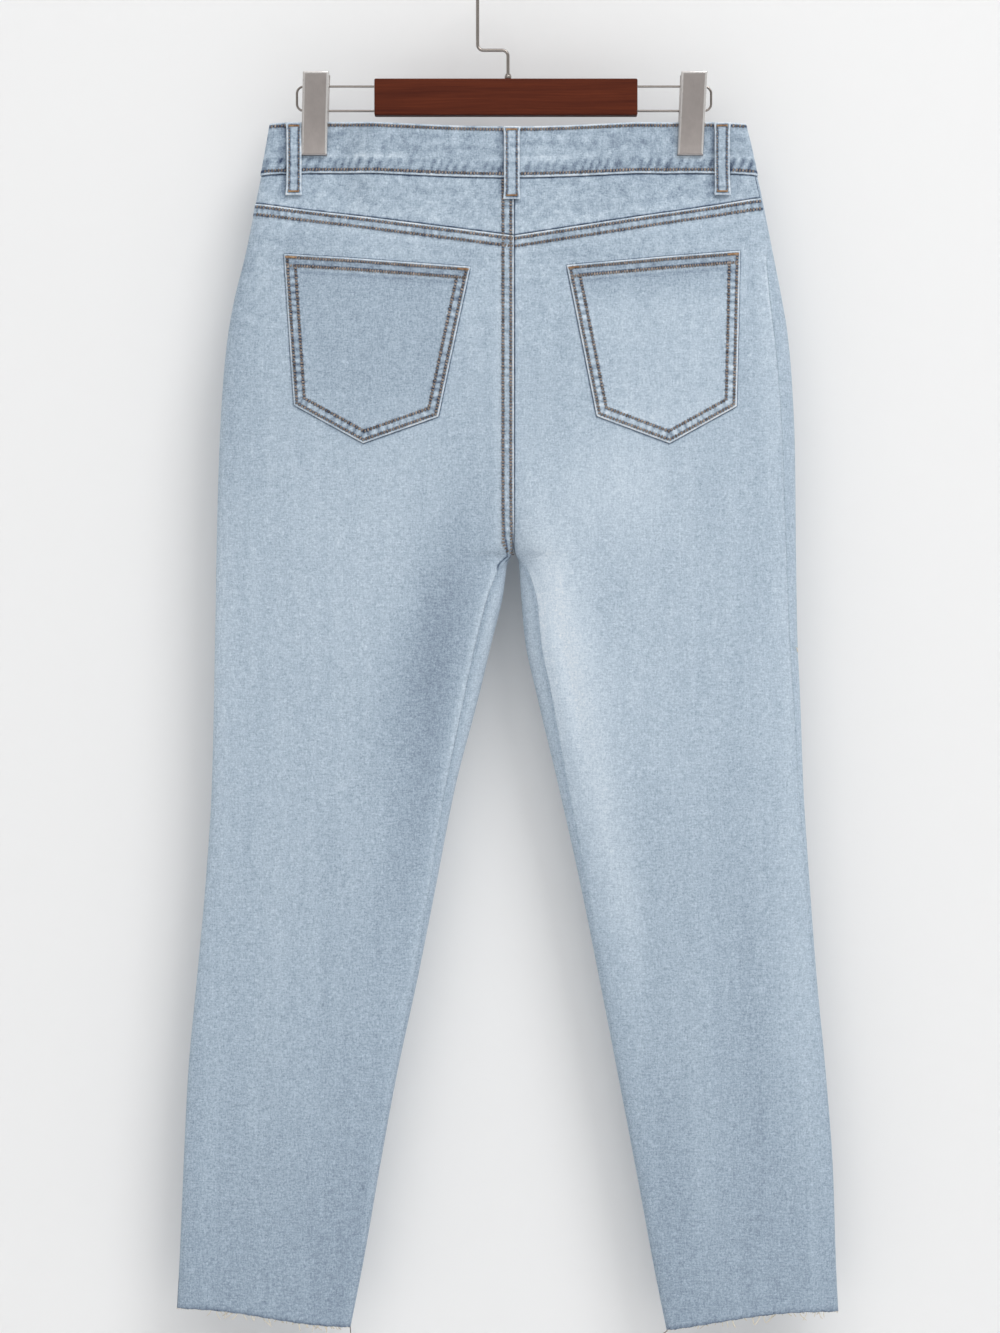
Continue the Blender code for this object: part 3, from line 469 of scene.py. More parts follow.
def laid(side, row_spans, spans_across, first_seam, last_seam):
    """A grid of the skin between two seams, with how far each of its points lies from each edge."""
    rows = stations(*row_spans)
    across, row = np.meshgrid(stations(*spans_across), rows)
    turn = mixed(first_seam(side, rows)[:, None], last_seam(side, rows)[:, None], across)
    base = skin(side, turn, row)
    normal, way = skin_frame(side, turn, row)
    from_first, from_top = run_along(base, 1), run_along(base, 0)
    from_last, from_foot = from_first[:, -1:] - from_first, from_top[-1:] - from_top
    x, drop = base[..., 0], -WAIST_DROP - base[..., 2]
    return Cloth(row, base, normal, way, from_first, from_last, from_top, from_foot, x, drop)


def shaped(cloth, relief, first_gap, last_gap):
    """Points of the cloth with its relief on it, drawn in a little from both seams."""
    shift = np.zeros_like(cloth.row)
    shift[:, 0], shift[:, -1] = first_gap, -last_gap
    return cloth.base + cloth.normal * relief[..., None] + cloth.way * shift[..., None]


def made_object(name, bm, material):
    """The object of a mesh in the making, linked to the scene at the origin."""
    mesh = bpy.data.meshes.new(name)
    bm.to_mesh(mesh)
    bm.free()
    mesh.materials.append(material)
    obj = bpy.data.objects.new(name, mesh)
    bpy.context.scene.collection.objects.link(obj)
    return obj


# What the denim's material reads at each point, and its value on plain cloth
PLAIN_FACTS = {"edge": FAR, "under": FAR, "wash_and_shade": 0.0, "mottle": 0.5}
FACES_ASKED = 40


def denim_piece(name, replaced, points, facts, outward, thickness=CLOTH, held="hung", **cut):
    """A piece of cloth through a grid of points, with facts for its material, given its thickness inward."""
    rows, columns = points.shape[0] - 1, points.shape[1] - 1
    bm = bmesh.new()
    bmesh.ops.create_grid(bm, x_segments=columns, y_segments=rows, size=0.5)
    spots = [(round((0.5 - v.co.y) * rows), round((v.co.x + 0.5) * columns)) for v in bm.verts]
    for vert, spot in zip(bm.verts, spots):
        vert.co = points[spot]
    bm.normal_update()
    asked = bm.faces[:FACES_ASKED]
    if sum(face.normal.dot(Vector(outward[spots[face.verts[0].index]])) for face in asked) < 0:
        bmesh.ops.reverse_faces(bm, faces=bm.faces[:])
    obj = made_object(name, bm, denim)
    place = tuple(np.array(spots).T)
    for fact, plain in PLAIN_FACTS.items():
        values = np.broadcast_to(facts.get(fact, plain), points.shape[:2])
        field = obj.data.attributes.new(fact, "FLOAT", "POINT")
        field.data.foreach_set("value", np.ascontiguousarray(values[place], dtype=np.float32))
    obj.data.shade_smooth()
    wall = obj.modifiers.new("thickness", "SOLIDIFY")
    wall.thickness = thickness
    wall.offset = -1
    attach(obj, "root")
    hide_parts(replaced)


def put(tree, made, inputs):
    """Fills inputs of a shader node, each with a value or with another node's output."""
    for name, value in inputs.items():
        if isinstance(value, bpy.types.NodeSocket):
            tree.links.new(value, made.inputs[name])
        else:
            made.inputs[name].default_value = value


def node(tree, kind, inputs, **settings):
    made = tree.nodes.new(kind)
    for name, value in settings.items():
        setattr(made, name, value)
    put(tree, made, inputs)
    return made


def math_of(tree, operation, *values):
    return node(tree, "ShaderNodeMath", dict(enumerate(values)), operation=operation).outputs[0]


def sums(tree, total, *terms):
    """A value with terms of (value, weight) added to it."""
    for value, weight in terms:
        total = math_of(tree, "MULTIPLY_ADD", value, weight, total)
    return total


def ramp(tree, value, low, high, to_low=0.0, to_high=1.0):
    ends = {"Value": value, "From Min": low, "From Max": high, "To Min": to_low, "To Max": to_high}
    return node(tree, "ShaderNodeMapRange", ends, interpolation_type="SMOOTHSTEP").outputs["Result"]


def grain(tree, vector, scale, detail=2.0, roughness=0.5):
    """Noise about 0, from -0.5 to 0.5. A scale of three numbers stretches it."""
    if isinstance(scale, tuple):
        vector = node(tree, "ShaderNodeMapping", {"Vector": vector, "Scale": scale}).outputs["Vector"]
        scale = 1.0
    kinds = {"Vector": vector, "Scale": scale, "Detail": detail, "Roughness": roughness}
    return math_of(tree, "SUBTRACT", node(tree, "ShaderNodeTexNoise", kinds).outputs["Fac"], 0.5)


def colour_at(tree, share, stops):
    """The colour at a share from 0 to 1, through stops of (position, colour)."""
    made = node(tree, "ShaderNodeValToRGB", {"Fac": share})
    elements = made.color_ramp.elements
    while len(elements) < len(stops):
        elements.new(0.5)
    for element, (position, colour) in zip(elements, stops):
        element.position = position
        element.color = (*colour, 1)
    return made.outputs["Color"]


def blended(tree, share, first, last):
    return node(tree, "ShaderNodeMix", {0: share, 6: first, 7: last}, data_type="RGBA").outputs[2]


def dented(tree, height, strength, distance):
    """The normal of a surface with fine relief."""
    dents = {"Height": height, "Strength": strength, "Distance": distance}
    return node(tree, "ShaderNodeBump", dents).outputs["Normal"]


def new_material(name):
    material = bpy.data.materials.new(name)
    material.use_nodes = True
    tree = material.node_tree
    coordinates = tree.nodes.new("ShaderNodeTexCoord").outputs["Object"]
    return material, tree, tree.nodes["Principled BSDF"], coordinates


# Colours of the washed cloth, from the deep line beside a seam (painted shadow with a deeper indigo) to the
# abraded edge
DENIM_TONES = (
    (0.00, (0.040, 0.062, 0.115)),
    (0.30, (0.240, 0.306, 0.388)),
    (0.50, (0.398, 0.488, 0.580)),
    (0.70, (0.590, 0.678, 0.765)),
    (1.00, (0.850, 0.870, 0.890)),
)
TWILL_PITCH = 0.0009
TWILL_ANGLE = math.radians(62)


def light_denim():
    """Washed twill: a speckle of pale weft and blue warp, deeper beside seams as painted shadow with a deeper
    indigo, darkened in the stitch furrows as painted shade, and worn white along edges.
    """
    material, tree, shader, at = new_material("light_denim")

    def read(name):
        return node(tree, "ShaderNodeAttribute", {}, attribute_name=name).outputs["Fac"]

    speckle = grain(tree, at, 620.0, 3.0, 0.85)
    slub = grain(tree, at, (900.0, 900.0, 150.0), 3.0, 0.65)
    cross = grain(tree, at, (150.0, 150.0, 1100.0), 2.0, 0.6)
    streak = grain(tree, at, (95.0, 95.0, 7.0), 3.0, 0.55)
    place = node(tree, "ShaderNodeSeparateXYZ", {0: at}).outputs
    turns = math.tau / TWILL_PITCH
    slope = math_of(tree, "MULTIPLY", place["X"], math.sin(TWILL_ANGLE) * turns)
    slope = sums(tree, slope, (place["Z"], -math.cos(TWILL_ANGLE) * turns), (speckle, 5.0))
    twill = math_of(tree, "SINE", slope)
    mottle = math_of(tree, "MULTIPLY", grain(tree, at, 125.0, 4.0, 0.68), read("mottle"))
    patchy = ramp(tree, grain(tree, at, 70.0, 3.0, 0.6), -0.20, 0.12, 0.30, 1.0)
    edge = sums(tree, read("edge"), (grain(tree, at, 420.0, 3.0, 0.7), 0.0012))
    worn = math_of(tree, "MULTIPLY", ramp(tree, edge, 0.0005, 0.0017, 1.0, 0.0), patchy)
    # Painted shadow with a deeper indigo: the deep line beside seams, read from the under attribute
    deep = ramp(tree, sums(tree, read("under"), (speckle, 0.0004)), 0.0004, 0.0019, 1.0, 0.0)
    # Painted shade in the furrows that the stitch rows pull
    from_rows = [math_of(tree, "SUBTRACT", read("edge"), row) for row in (EDGE_ROW, SECOND_ROW)]
    sunk = [ramp(tree, math_of(tree, "ABSOLUTE", away), 0.0, FURROW, 1.0, 0.0) for away in from_rows]
    furrow = math_of(tree, "ADD", *sunk)
    weave = (speckle, 0.74), (slub, 0.28), (cross, 0.26), (streak, 0.10), (twill, 0.03), (mottle, 0.40)
    tone = sums(tree, 0.5, (read("wash_and_shade"), 1.0), *weave, (worn, 0.36), (deep, -0.38), (furrow, -0.42))
    relief = sums(tree, speckle, (slub, 0.9), (cross, 0.6), (twill, 0.2), (worn, 0.3), (furrow, -0.8))
    finish = {
        "Base Color": colour_at(tree, tone, DENIM_TONES),
        "Roughness": 0.88,
        "Specular IOR Level": 0.25,
        "Sheen Weight": 0.12,
        "Sheen Roughness": 0.5,
        "Normal": dented(tree, relief, 0.40, 0.0004),
    }
    put(tree, shader, finish)
    return material


denim = light_denim()
SIDE_GAP = HALF_GAP * 0.3
HEM_STARTS = HEM - 0.008
PANEL_ACROSS = (0.0, 0.055, 10), (0.055, 0.93, 104), (0.93, 1.0, 12)
PANEL_ROWS = (
    (YOKE_CENTRE + HALF_GAP, YOKE_CENTRE + 0.014, 12),
    (YOKE_CENTRE + 0.014, 0.350, 110),
    (0.350, 0.400, 28),
    (0.400, 0.560, 50),
    (0.560, HEM_STARTS, 80),
    (HEM_STARTS, HEM + RAW_EDGE, 7),
)
ROPED_WIDTH = 0.0125
SEAMS_TURN_IN = 0.012
CREASES_END = 0.012
LEG_PARTS = 0.02
HEM_SHADE = 0.17
HEM_SHADE_REACH = 0.0024
THIGH_FADES = 0.43
SIDES = ((-1, "left"), (1, "right"))
BACK_CUT = {"flat": (0.290, 0.940), "area": 0.185}


def hem_shade(from_hem):
    """Deeper tone of the cloth just above its raw edge."""
    return HEM_SHADE * near(from_hem, 0.0, HEM_SHADE_REACH)


for side, hand in SIDES:
    leg = laid(side, PANEL_ROWS, PANEL_ACROSS, inseam, side_seam)
    x, drop, from_top, from_inner, from_side = leg.x, leg.drop, leg.from_top, leg.from_first, leg.from_last
    in_leg = eased((leg.row - CROTCH) / LEG_PARTS)
    below_crotch = in_leg * (1 - eased((leg.row - THIGH_FADES) / 0.24))
    seat_fold = from_inner + SEAMS_TURN_IN * in_leg if side < 0 else np.full_like(x, FAR)
    edge = np.minimum(from_top, seat_fold)
    twist = np.where(from_top < from_inner, rope(from_inner, 1.3 + side, 0.0058), rope(from_top, 4.2 - side))
    roped = eased((ROPED_WIDTH - edge) / 0.002) * eased((edge - 0.002) / 0.002)
    tone = wash_and_shade(True, x, drop) + ROPE_TONE * twist * roped + 0.05 * near(edge, 0.014, 0.003)
    # Painted highlight: a pale ridge just inside the inseam below the crotch
    tone = tone + 0.075 * below_crotch * near(from_inner, 0.002, 0.004) - hem_shade(leg.from_foot)
    # Deep line round each pocket: painted shadow with a deeper indigo
    under = np.max([away for away, _ in edge_distances(list(POCKETS[side]), x, drop)], axis=0) + SEAM_GAP
    if side < 0:
        # Painted shade along the left leg's side fold
        tone = tone - 0.06 * (1 - eased(from_side / 0.008))
    else:
        tone = tone + 0.13 * near(from_side, 0.0010, 0.0011) * near(drop, 0.146, 0.035)
        # Deep line beside the left panel's folded edge down the seat seam: painted shadow with a deeper
        # indigo
        under = np.minimum(under, np.where(leg.row < CROTCH, from_inner, FAR))
    mottle = 0.25 + 0.75 * (1 - eased((drop - 0.12) / 0.12)) + 0.9 * roped
    facts = {"edge": edge, "under": under, "wash_and_shade": tone, "mottle": mottle}
    relief = FELL_PROUD * eased((FELL_WIDTH - edge) / 0.0015) + ROPE_HEIGHT * twist * roped
    clear = eased(from_side / CREASES_END) * eased(from_inner / CREASES_END)
    relief = relief + fold_height(True, x, drop, CREASES) * clear
    points = shaped(leg, relief, mixed(HALF_GAP, SIDE_GAP, in_leg[:, 0]), SIDE_GAP)
    points[..., 2] += ragged(from_inner, leg.from_foot)
    name, replaced = f"back_leg_{hand}", f"back_panel_{hand}"
    denim_piece(name, replaced, points, facts, leg.normal, rests_on=[f"back_yoke_{hand}"], **BACK_CUT)

# Front panels of the legs. The same denim, cut narrower than the backs and joined to them at the sides and
# the inseams. Hidden by the backs in the photograph, they are finished plainly, with faded thighs and knees.
FRONT_ROWS = (
    (BAND_HEIGHT + HALF_GAP, YOKE_CENTRE, 16),
    (YOKE_CENTRE, 0.350, 56),
    (0.350, 0.400, 26),
    (0.400, HEM_STARTS, 112),
    (HEM_STARTS, HEM + RAW_EDGE, 6),
)
FRONT_ACROSS = (0.0, 0.10, 10), (0.10, 0.90, 50), (0.90, 1.0, 14)
FRONT_CUT = {"flat": (0.275, 0.990), "area": 0.190, "rests_on": ["waistband"]}


def front_inseam(side, row):
    return 2 + inseam(side, row)


for side, hand in SIDES:
    leg = laid(side, FRONT_ROWS, FRONT_ACROSS, side_seam, front_inseam)
    x, drop, from_side, from_inner = leg.x, leg.drop, leg.from_first, leg.from_last
    in_leg = eased((leg.row - CROTCH) / LEG_PARTS)
    below_crotch = in_leg * (1 - 0.8 * eased((leg.row - THIGH_FADES) / 0.26))
    tone = wash_and_shade(False, x, drop) - hem_shade(leg.from_foot)
    # Painted highlight a little in from the inseam, and painted shade along the inseam's groove, below the
    # crotch
    tone = tone + 0.06 * below_crotch * near(from_inner, 0.010, 0.006)
    tone = tone - 0.12 * below_crotch * near(from_inner, 0.0, 0.0035)
    # Painted shade at the left leg's side seam
    tone = tone - 0.05 * near(from_side, 0.0, 0.003) * (side < 0)
    centre = np.where(leg.row < CROTCH, from_inner, FAR)
    # The deep line under the waistband and, on the right, beside the centre seam is painted shadow with a
    # deeper indigo
    facts = {
        "edge": centre if side < 0 else FAR,
        "under": np.minimum(leg.from_top, centre if side > 0 else FAR),
        "wash_and_shade": tone,
        "mottle": 0.25 + 0.5 * (1 - eased((drop - 0.12) / 0.20)),
    }
    clear = eased(from_side / CREASES_END) * eased(from_inner / CREASES_END)
    relief = fold_height(False, x, drop, CREASES) * clear
    points = shaped(leg, relief, SIDE_GAP, mixed(HALF_GAP, SIDE_GAP, in_leg[:, 0]))
    points[..., 2] += ragged(from_side, leg.from_foot)
    name, replaced = f"front_leg_{hand}", f"front_panel_{hand}"
    denim_piece(name, replaced, points, facts, leg.normal, **FRONT_CUT)

# Back yokes. Two short shaped pieces of the same denim between the waistband and the back panels. Their lower
# edges are tucked under the panels' folded edges, and a deep line, painted shadow with a deeper indigo, runs
# beside each seam.
BeltLoop = namedtuple("BeltLoop", "node back x")
BELT_LOOPS = [BeltLoop(*row) for row in (
    ("belt_loop_centre_back", True, 0.0032),
    ("belt_loop_back_left", True, -0.1828),
    ("belt_loop_back_right", True, 0.1832),
    ("belt_loop_front_left", False, -0.0980),
    ("belt_loop_front_right", False, 0.1040),
)]
LOOP_WIDTH = 0.0133
LOOP_SHADE = 0.17
LOOP_SHADE_REACH = 0.0040
YOKE_CUT = {"flat": (0.220, 0.056), "area": 0.0090, "rests_on": ["waistband"]}
YOKE_ACROSS = (0.0, 0.06, 11), (0.06, 1.0, 100)
YOKE_ROWS = ((BAND_HEIGHT + HALF_GAP, YOKE_CENTRE - HALF_GAP, 30),)


def painted_loop_shadow(back, x, drop, foot):
    """Painted shadow on the cloth on the left of each belt loop."""
    shade = 0.0
    for loop in BELT_LOOPS:
        if loop.back == back:
            shade = shade + LOOP_SHADE * near(x, loop.x - LOOP_WIDTH / 2 - 0.0015, LOOP_SHADE_REACH)
    return shade * (1 - eased((drop - foot) / 0.006))


def centre_back(side, row):
    return np.zeros_like(row)


for side, hand in SIDES:
    yoke = laid(side, YOKE_ROWS, YOKE_ACROSS, centre_back, side_seam)
    x, drop, from_centre = yoke.x, yoke.drop, yoke.from_first
    edge = from_centre if side < 0 else np.full_like(x, FAR)
    # Deep lines at the yoke's foot, top and side seam, and on the right beside the centre seam: painted
    # shadow with a deeper indigo
    under = np.minimum(np.minimum(yoke.from_foot, yoke.from_top), yoke.from_last)
    roped = eased((ROPED_WIDTH - edge) / 0.002)
    tone = wash_and_shade(True, x, drop) + ROPE_TONE * rope(yoke.from_top, 2.0) * roped
    # Painted shadow to the left of each belt loop's lower end
    tone = tone + 0.04 * near(yoke.from_foot, 0.006, 0.004) - painted_loop_shadow(True, x, drop, 0.062)
    under = under if side < 0 else np.minimum(under, from_centre)
    facts = {"edge": edge, "under": under, "wash_and_shade": tone, "mottle": 1.6}
    relief = FELL_PROUD * eased((FELL_WIDTH - edge) / 0.0015)
    relief = relief + fold_height(True, x, drop, CREASES) * eased(from_centre / 0.015)
    points = shaped(yoke, relief, HALF_GAP, HALF_GAP)
    name, replaced = f"yoke_{hand}", f"back_yoke_{hand}"
    denim_piece(name, replaced, points, facts, yoke.normal, **YOKE_CUT)

# Waistband. One straight strip of doubled denim, folded along its top edge and felled over the yokes and the
# fronts along its foot. It runs from its end under the button round to the end on top.
BAND_PROUD = 0.0008
BAND_OVER_END = 0.018
BAND_UNDER_END = 0.012
BAND_LAP_FLAT = 0.020
BAND_LAP_RAMP = 0.045
BAND_LAP_LIFT = CLOTH + BAND_PROUD + SEAM_GAP
BAND_CREASE = 0.0285
BAND_PUCKER = 0.00035
BAND_TOP_WORN = -0.0002
BAND_FOOT_WORN = 0.0004


def turn_past_centre(side, distance):
    """The turn t on the fly side that lies this far past the centre front, negative before it."""
    inner, outer = edges(side, np.array(BAND_HEIGHT / 2))
    return float(2 + 2 / np.pi * np.arcsin(distance / abs(outer - inner)))


def band_base(way, row):
    """Skin points, normals and the lap's lift along the band, where way is t, negative on the left."""
    t = np.abs(way)
    left = (way < 0)[..., None]
    normal_left, normal_right = skin_frame(-1, t, row)[0], skin_frame(1, t, row)[0]
    ramp_starts, ramp_ends = turn_past_centre(1, -BAND_LAP_RAMP), turn_past_centre(1, -BAND_LAP_FLAT)
    lap = BAND_LAP_LIFT * eased((way - ramp_starts) / (ramp_ends - ramp_starts))
    base = np.where(left, skin(-1, t, row), skin(1, t, row))
    return base, np.where(left, normal_left, normal_right), lap


BAND_ROWS = (0.0, 0.005, 5), (0.005, 0.034, 12), (0.034, BAND_HEIGHT - HALF_GAP, 12)
BAND_CUT = {"flat": (0.860, 0.044), "rests_on": ["clip_seat_side_left", "clip_seat_side_right"]}
BAND_TONE = -0.068
band_ends = -turn_past_centre(-1, BAND_UNDER_END), turn_past_centre(1, BAND_OVER_END)
way, row = np.meshgrid(stations((*band_ends, 520)), stations(*BAND_ROWS))
base, normal, lap = band_base(way, row)
run = run_along(base, 1)
from_end = np.minimum(run, run[:, -1:] - run)
from_foot = BAND_HEIGHT - row
below_crease = eased((row - BAND_CREASE) / 0.004)
pucker = rope(run, 0.7, 0.0082) * below_crease * eased(from_foot / 0.003)
crease = near(row, BAND_CREASE + 0.0012 * np.sin(run * 23), 0.0022) * (0.55 + 0.45 * np.sin(run * 41 + 1))
edge = np.minimum(row + BAND_TOP_WORN, from_foot - BAND_FOOT_WORN)
x, drop = base[..., 0], -WAIST_DROP - base[..., 2]
# Painted shadow to the left of each belt loop
shade = np.where(base[..., 1] < 0, painted_loop_shadow(True, x, drop, 1.0), painted_loop_shadow(False, x, drop, 1.0))
patches = 0.035 * np.sin(run * 31) * np.sin(run * 12.7 + 2)
streaks = 0.045 * np.sin(row * 620 + 2.5 * np.sin(run * 19)) * np.sin(run * 27 + 1)
facts = {
    "edge": np.minimum(np.where(edge > 0.007, FAR, edge), from_end),
    "wash_and_shade": BAND_TONE - 0.05 * below_crease + 0.16 * pucker + 0.20 * crease + patches + streaks - shade,
    "mottle": 1.7,
}
roll = BAND_PROUD * (1 - eased((0.0022 - row) / 0.0022) * 0.8)
relief = roll + lap + BAND_PUCKER * pucker + 0.0003 * eased((0.0045 - from_foot) / 0.001) - 0.0002 * crease
points = base + normal * relief[..., None]
denim_piece("denim_waistband", "waistband", points, facts, normal, CLOTH + BAND_PROUD, **BAND_CUT)

# Back pockets. Five-cornered pieces of denim with a turned top hem, sewn flat on the seat by two rows of
# stitches round the sides and the foot. Their folded edges are worn white and roped between the rows.
POCKET_CLOTH = 0.0010
POCKET_REST = 0.0004
POCKET_HEM = 0.0118
POCKET_CUT = {"flat": (0.160, 0.165), "area": 0.0215}
POCKET_TONE = {-1: -0.065, 1: 0.035}
POCKET_SHADE = {-1: 0.020, 1: 0.110}
POCKET_ACROSS = (0.0, 0.09, 12), (0.09, 0.91, 58), (0.91, 1.0, 12)
POCKET_DOWN = (0.0, 0.11, 14), (0.11, 0.90, 56), (0.90, 1.0, 12)


def on_cloth(back, x, drop, lift=0.0):
    """Points above the skin at places of the front view, and the outward normals there."""

    def depth(x, drop):
        return np.where(x < CENTRE_X, half_depth(-1, back, x, drop), half_depth(1, back, x, drop))

    facing = -1 if back else 1
    x, drop = np.broadcast_arrays(np.asarray(x, float), np.asarray(drop, float))
    step = 0.0008
    slope_x = (depth(x + step, drop) - depth(x - step, drop)) / (2 * step)
    slope_z = -(depth(x, drop + step) - depth(x, drop - step)) / (2 * step)
    normal = unit(np.stack([-slope_x, np.full_like(x, facing), -slope_z], axis=-1))
    base = np.stack([x, facing * depth(x, drop), -WAIST_DROP - drop], axis=-1)
    return base + normal * np.asarray(lift)[..., None], normal


for side, hand in SIDES:
    across, down = np.meshgrid(stations(*POCKET_ACROSS), stations(*POCKET_DOWN))
    corners = (np.array(corner)[:, None, None] for corner in POCKETS[side])
    outer_top, inner_top, inner_foot, point, outer_foot = corners
    first_foot = mixed(outer_foot, point, across * 2)
    last_foot = mixed(point, inner_foot, across * 2 - 1)
    foot = np.where(across < 0.5, first_foot, last_foot)
    x, drop = mixed(mixed(outer_top, inner_top, across), foot, down)
    sides = edge_distances(list(POCKETS[side]), x, drop)
    inward = [-away for away, _ in sides]
    edge, nearest = np.min(inward, axis=0), np.argmin(inward, axis=0)
    run = np.choose(nearest, [along_side for _, along_side in sides])
    from_top = inward[0]
    top_hem = eased((POCKET_HEM - from_top) / 0.002)
    between_rows = eased((edge - 0.0018) / 0.0015) * eased((0.0122 - edge) / 0.002)
    twist = rope(run + nearest * 0.37, 5.1 + side) * between_rows * (1 - top_hem)
    tone = wash_and_shade(True, x, drop) + POCKET_TONE[side] + 0.20 * twist
    tone = tone - 0.05 * top_hem * eased((from_top - 0.003) / 0.002)
    tone = tone + 0.10 * near(from_top, POCKET_HEM, 0.0010) - 0.09 * near(from_top, 0.0146, 0.0018)
    tone = tone - POCKET_SHADE[side] * (1 - eased((from_top - 0.012) / 0.035))
    tone = tone + 0.03 * eased((from_top - 0.10) / 0.04)
    facts = {"edge": edge, "wash_and_shade": tone, "mottle": 0.40 + 1.1 * between_rows}
    doubled = eased((FELL_WIDTH + 0.001 - edge) / 0.0015)
    rolled = eased((0.0012 - edge) / 0.0012)
    lift = POCKET_REST + POCKET_CLOTH + FELL_PROUD * (doubled - rolled) + 0.00026 * twist
    points, normal = on_cloth(True, x, drop, lift)
    name, replaced = f"denim_pocket_{hand}", f"back_pocket_{hand}"
    rests_on = [f"back_panel_{hand}"]
    denim_piece(name, replaced, points, facts, normal, POCKET_CLOTH, rests_on=rests_on, **POCKET_CUT)

# Belt loops. Folded strips of denim 13 mm wide, bar-tacked at the top of the waistband and on the yoke or
# the front, with two rows of stitches and a little room under their middles.
LOOP_LENGTH = 0.0625
LOOP_START = 0.0006
LOOP_CLOTH = 0.0016
LOOP_FOLDED = 0.0030
LOOP_FOLD_LENGTH = 0.009
LOOP_BOW = 0.0020
LOOP_CUT = {"flat": (0.0143, 0.065), "rests_on": ["waistband"]}
LOOP_FLARE = 0.09


def band_lift(x, drop):
    """How proud the waistband stands at a place of the front view, over the cloth under it."""
    return BAND_PROUD * (1 - eased((drop - waist_sag(x) - BAND_HEIGHT + 0.002) / 0.004))


def loop_rise(along_loop):
    from_end = np.minimum(along_loop, LOOP_LENGTH - along_loop)
    middle = eased((from_end - LOOP_FOLD_LENGTH * 0.7) / LOOP_FOLD_LENGTH)
    return SEAM_GAP + LOOP_BOW * middle + mixed(LOOP_FOLDED, LOOP_CLOTH, middle)


for loop in BELT_LOOPS:
    across, along_loop = np.meshgrid(stations((-0.5, 0.5, 14)), stations((0.0, LOOP_LENGTH, 64)))
    flare = 1 + LOOP_FLARE * near(np.minimum(along_loop, LOOP_LENGTH - along_loop), 0.001, 0.004)
    x = loop.x + across * LOOP_WIDTH * flare
    drop = waist_sag(loop.x) + LOOP_START + along_loop
    from_side = LOOP_WIDTH * (0.5 - np.abs(across))
    from_end = np.minimum(along_loop, LOOP_LENGTH - along_loop)
    rounded = 0.0006 * eased((0.0012 - from_side) / 0.0012)
    seam_ridge = 0.0002 * near(from_side, 0.0038, 0.0008)
    lift = loop_rise(along_loop) + band_lift(x, drop) - rounded + seam_ridge
    points, normal = on_cloth(loop.back, x, drop, lift)
    facts = {
        "edge": np.minimum(from_side + 0.0002 * np.sin(along_loop * 900 + loop.x * 50), from_end + 0.0002),
        "wash_and_shade": 0.02 - 0.03 * np.cos(across * 9) + 0.07 * rope(along_loop, loop.x * 40),
        "mottle": 1.3,
    }
    name = loop.node.replace("belt_loop", "denim_loop")
    denim_piece(name, loop.node, points, facts, normal, LOOP_CLOTH, "folded", **LOOP_CUT)

# Fly and button. The right front's edge laps over the zip and is sewn down in a J. A turned metal button
# closes the waistband over it.
FLY_OVERLAP = 0.003
FLY_WIDTH = 0.038
FLY_TOP = 0.0505
FLY_FOOT = 0.205
FLY_TIP = 0.18
FLY_CUT = {"flat": (0.038, 0.156), "rests_on": ["front_panel_right"]}
FLY_REST = 0.0004
across, down = np.meshgrid(stations((0.0, 0.1, 4), (0.1, 1.0, 26)), stations((0.0, 1.0, 90)))
drop = mixed(FLY_TOP, FLY_FOOT, down)
from_tip = 1 - np.minimum((FLY_FOOT - drop) / FLY_WIDTH, 1.0)
fly_width = FLY_WIDTH * np.sqrt(np.maximum(1 - from_tip**2, FLY_TIP**2))
x = CENTRE_X - FLY_OVERLAP + fly_width * across
points, normal = on_cloth(False, x, drop, FLY_REST + POCKET_CLOTH)
# The deep line along the flap's curved edge and foot is painted shadow with a deeper indigo
facts = {
    "edge": x - (CENTRE_X - FLY_OVERLAP),
    "under": np.minimum(fly_width * (1 - across), FLY_FOOT - drop) + 0.0003,
    "wash_and_shade": wash_and_shade(False, x, drop) + 0.02 * rope(drop, 3.3) * eased((0.008 - fly_width * across) / 0.002),
    "mottle": 0.8,
}
denim_piece("denim_fly", "fly_flap", points, facts, normal, POCKET_CLOTH, "folded", **FLY_CUT)

# Sewing. Lockstitch rows in a brown-grey thread along every felled seam, fold and loop, and short tan bar
# tacks where a loop or a pocket corner takes the strain.
STITCH_PITCH = 0.0027
STITCH_LENGTH = 0.0022
STITCH_WIDTH = 0.0031
STITCH_HEIGHT = 0.00080
STITCH_SLANT = 0.34
LOOP_STITCH_WIDTH = 0.0013
STITCH_SITS = 0.00040
TACK_PITCH = 0.0006
TACK_LENGTH = 0.0020
TACK_WIDTH = 0.0006
SHARP = math.radians(40)


def thread(name, dark, light):
    """Twisted sewing thread, uneven in colour from the wash."""
    material, tree, shader, at = new_material(name)
    uneven, ply = grain(tree, at, 260.0, 2.0, 0.6), grain(tree, at, 2200.0, 1.0, 0.5)
    share = sums(tree, 0.5, (uneven, 1.0), (ply, 0.6))
    put(tree, shader, {"Base Color": colour_at(tree, share, ((0.32, dark), (0.72, light))), "Roughness": 0.7})
    return material


brown_thread = thread("brown_thread", (0.062, 0.051, 0.048), (0.400, 0.332, 0.282))
tan_thread = thread("tan_thread", (0.260, 0.120, 0.045), (0.620, 0.380, 0.180))


def resampled(line, pitch):
    """Points along a bent line of the front view, one at each pitch."""
    line = np.asarray(line, float)
    lengths = np.concatenate([[0], np.cumsum(np.linalg.norm(np.diff(line, axis=0), axis=1))])
    places = np.arange(pitch / 2, lengths[-1], pitch)
    return np.stack([np.interp(places, lengths, line[:, i]) for i in (0, 1)], axis=1)


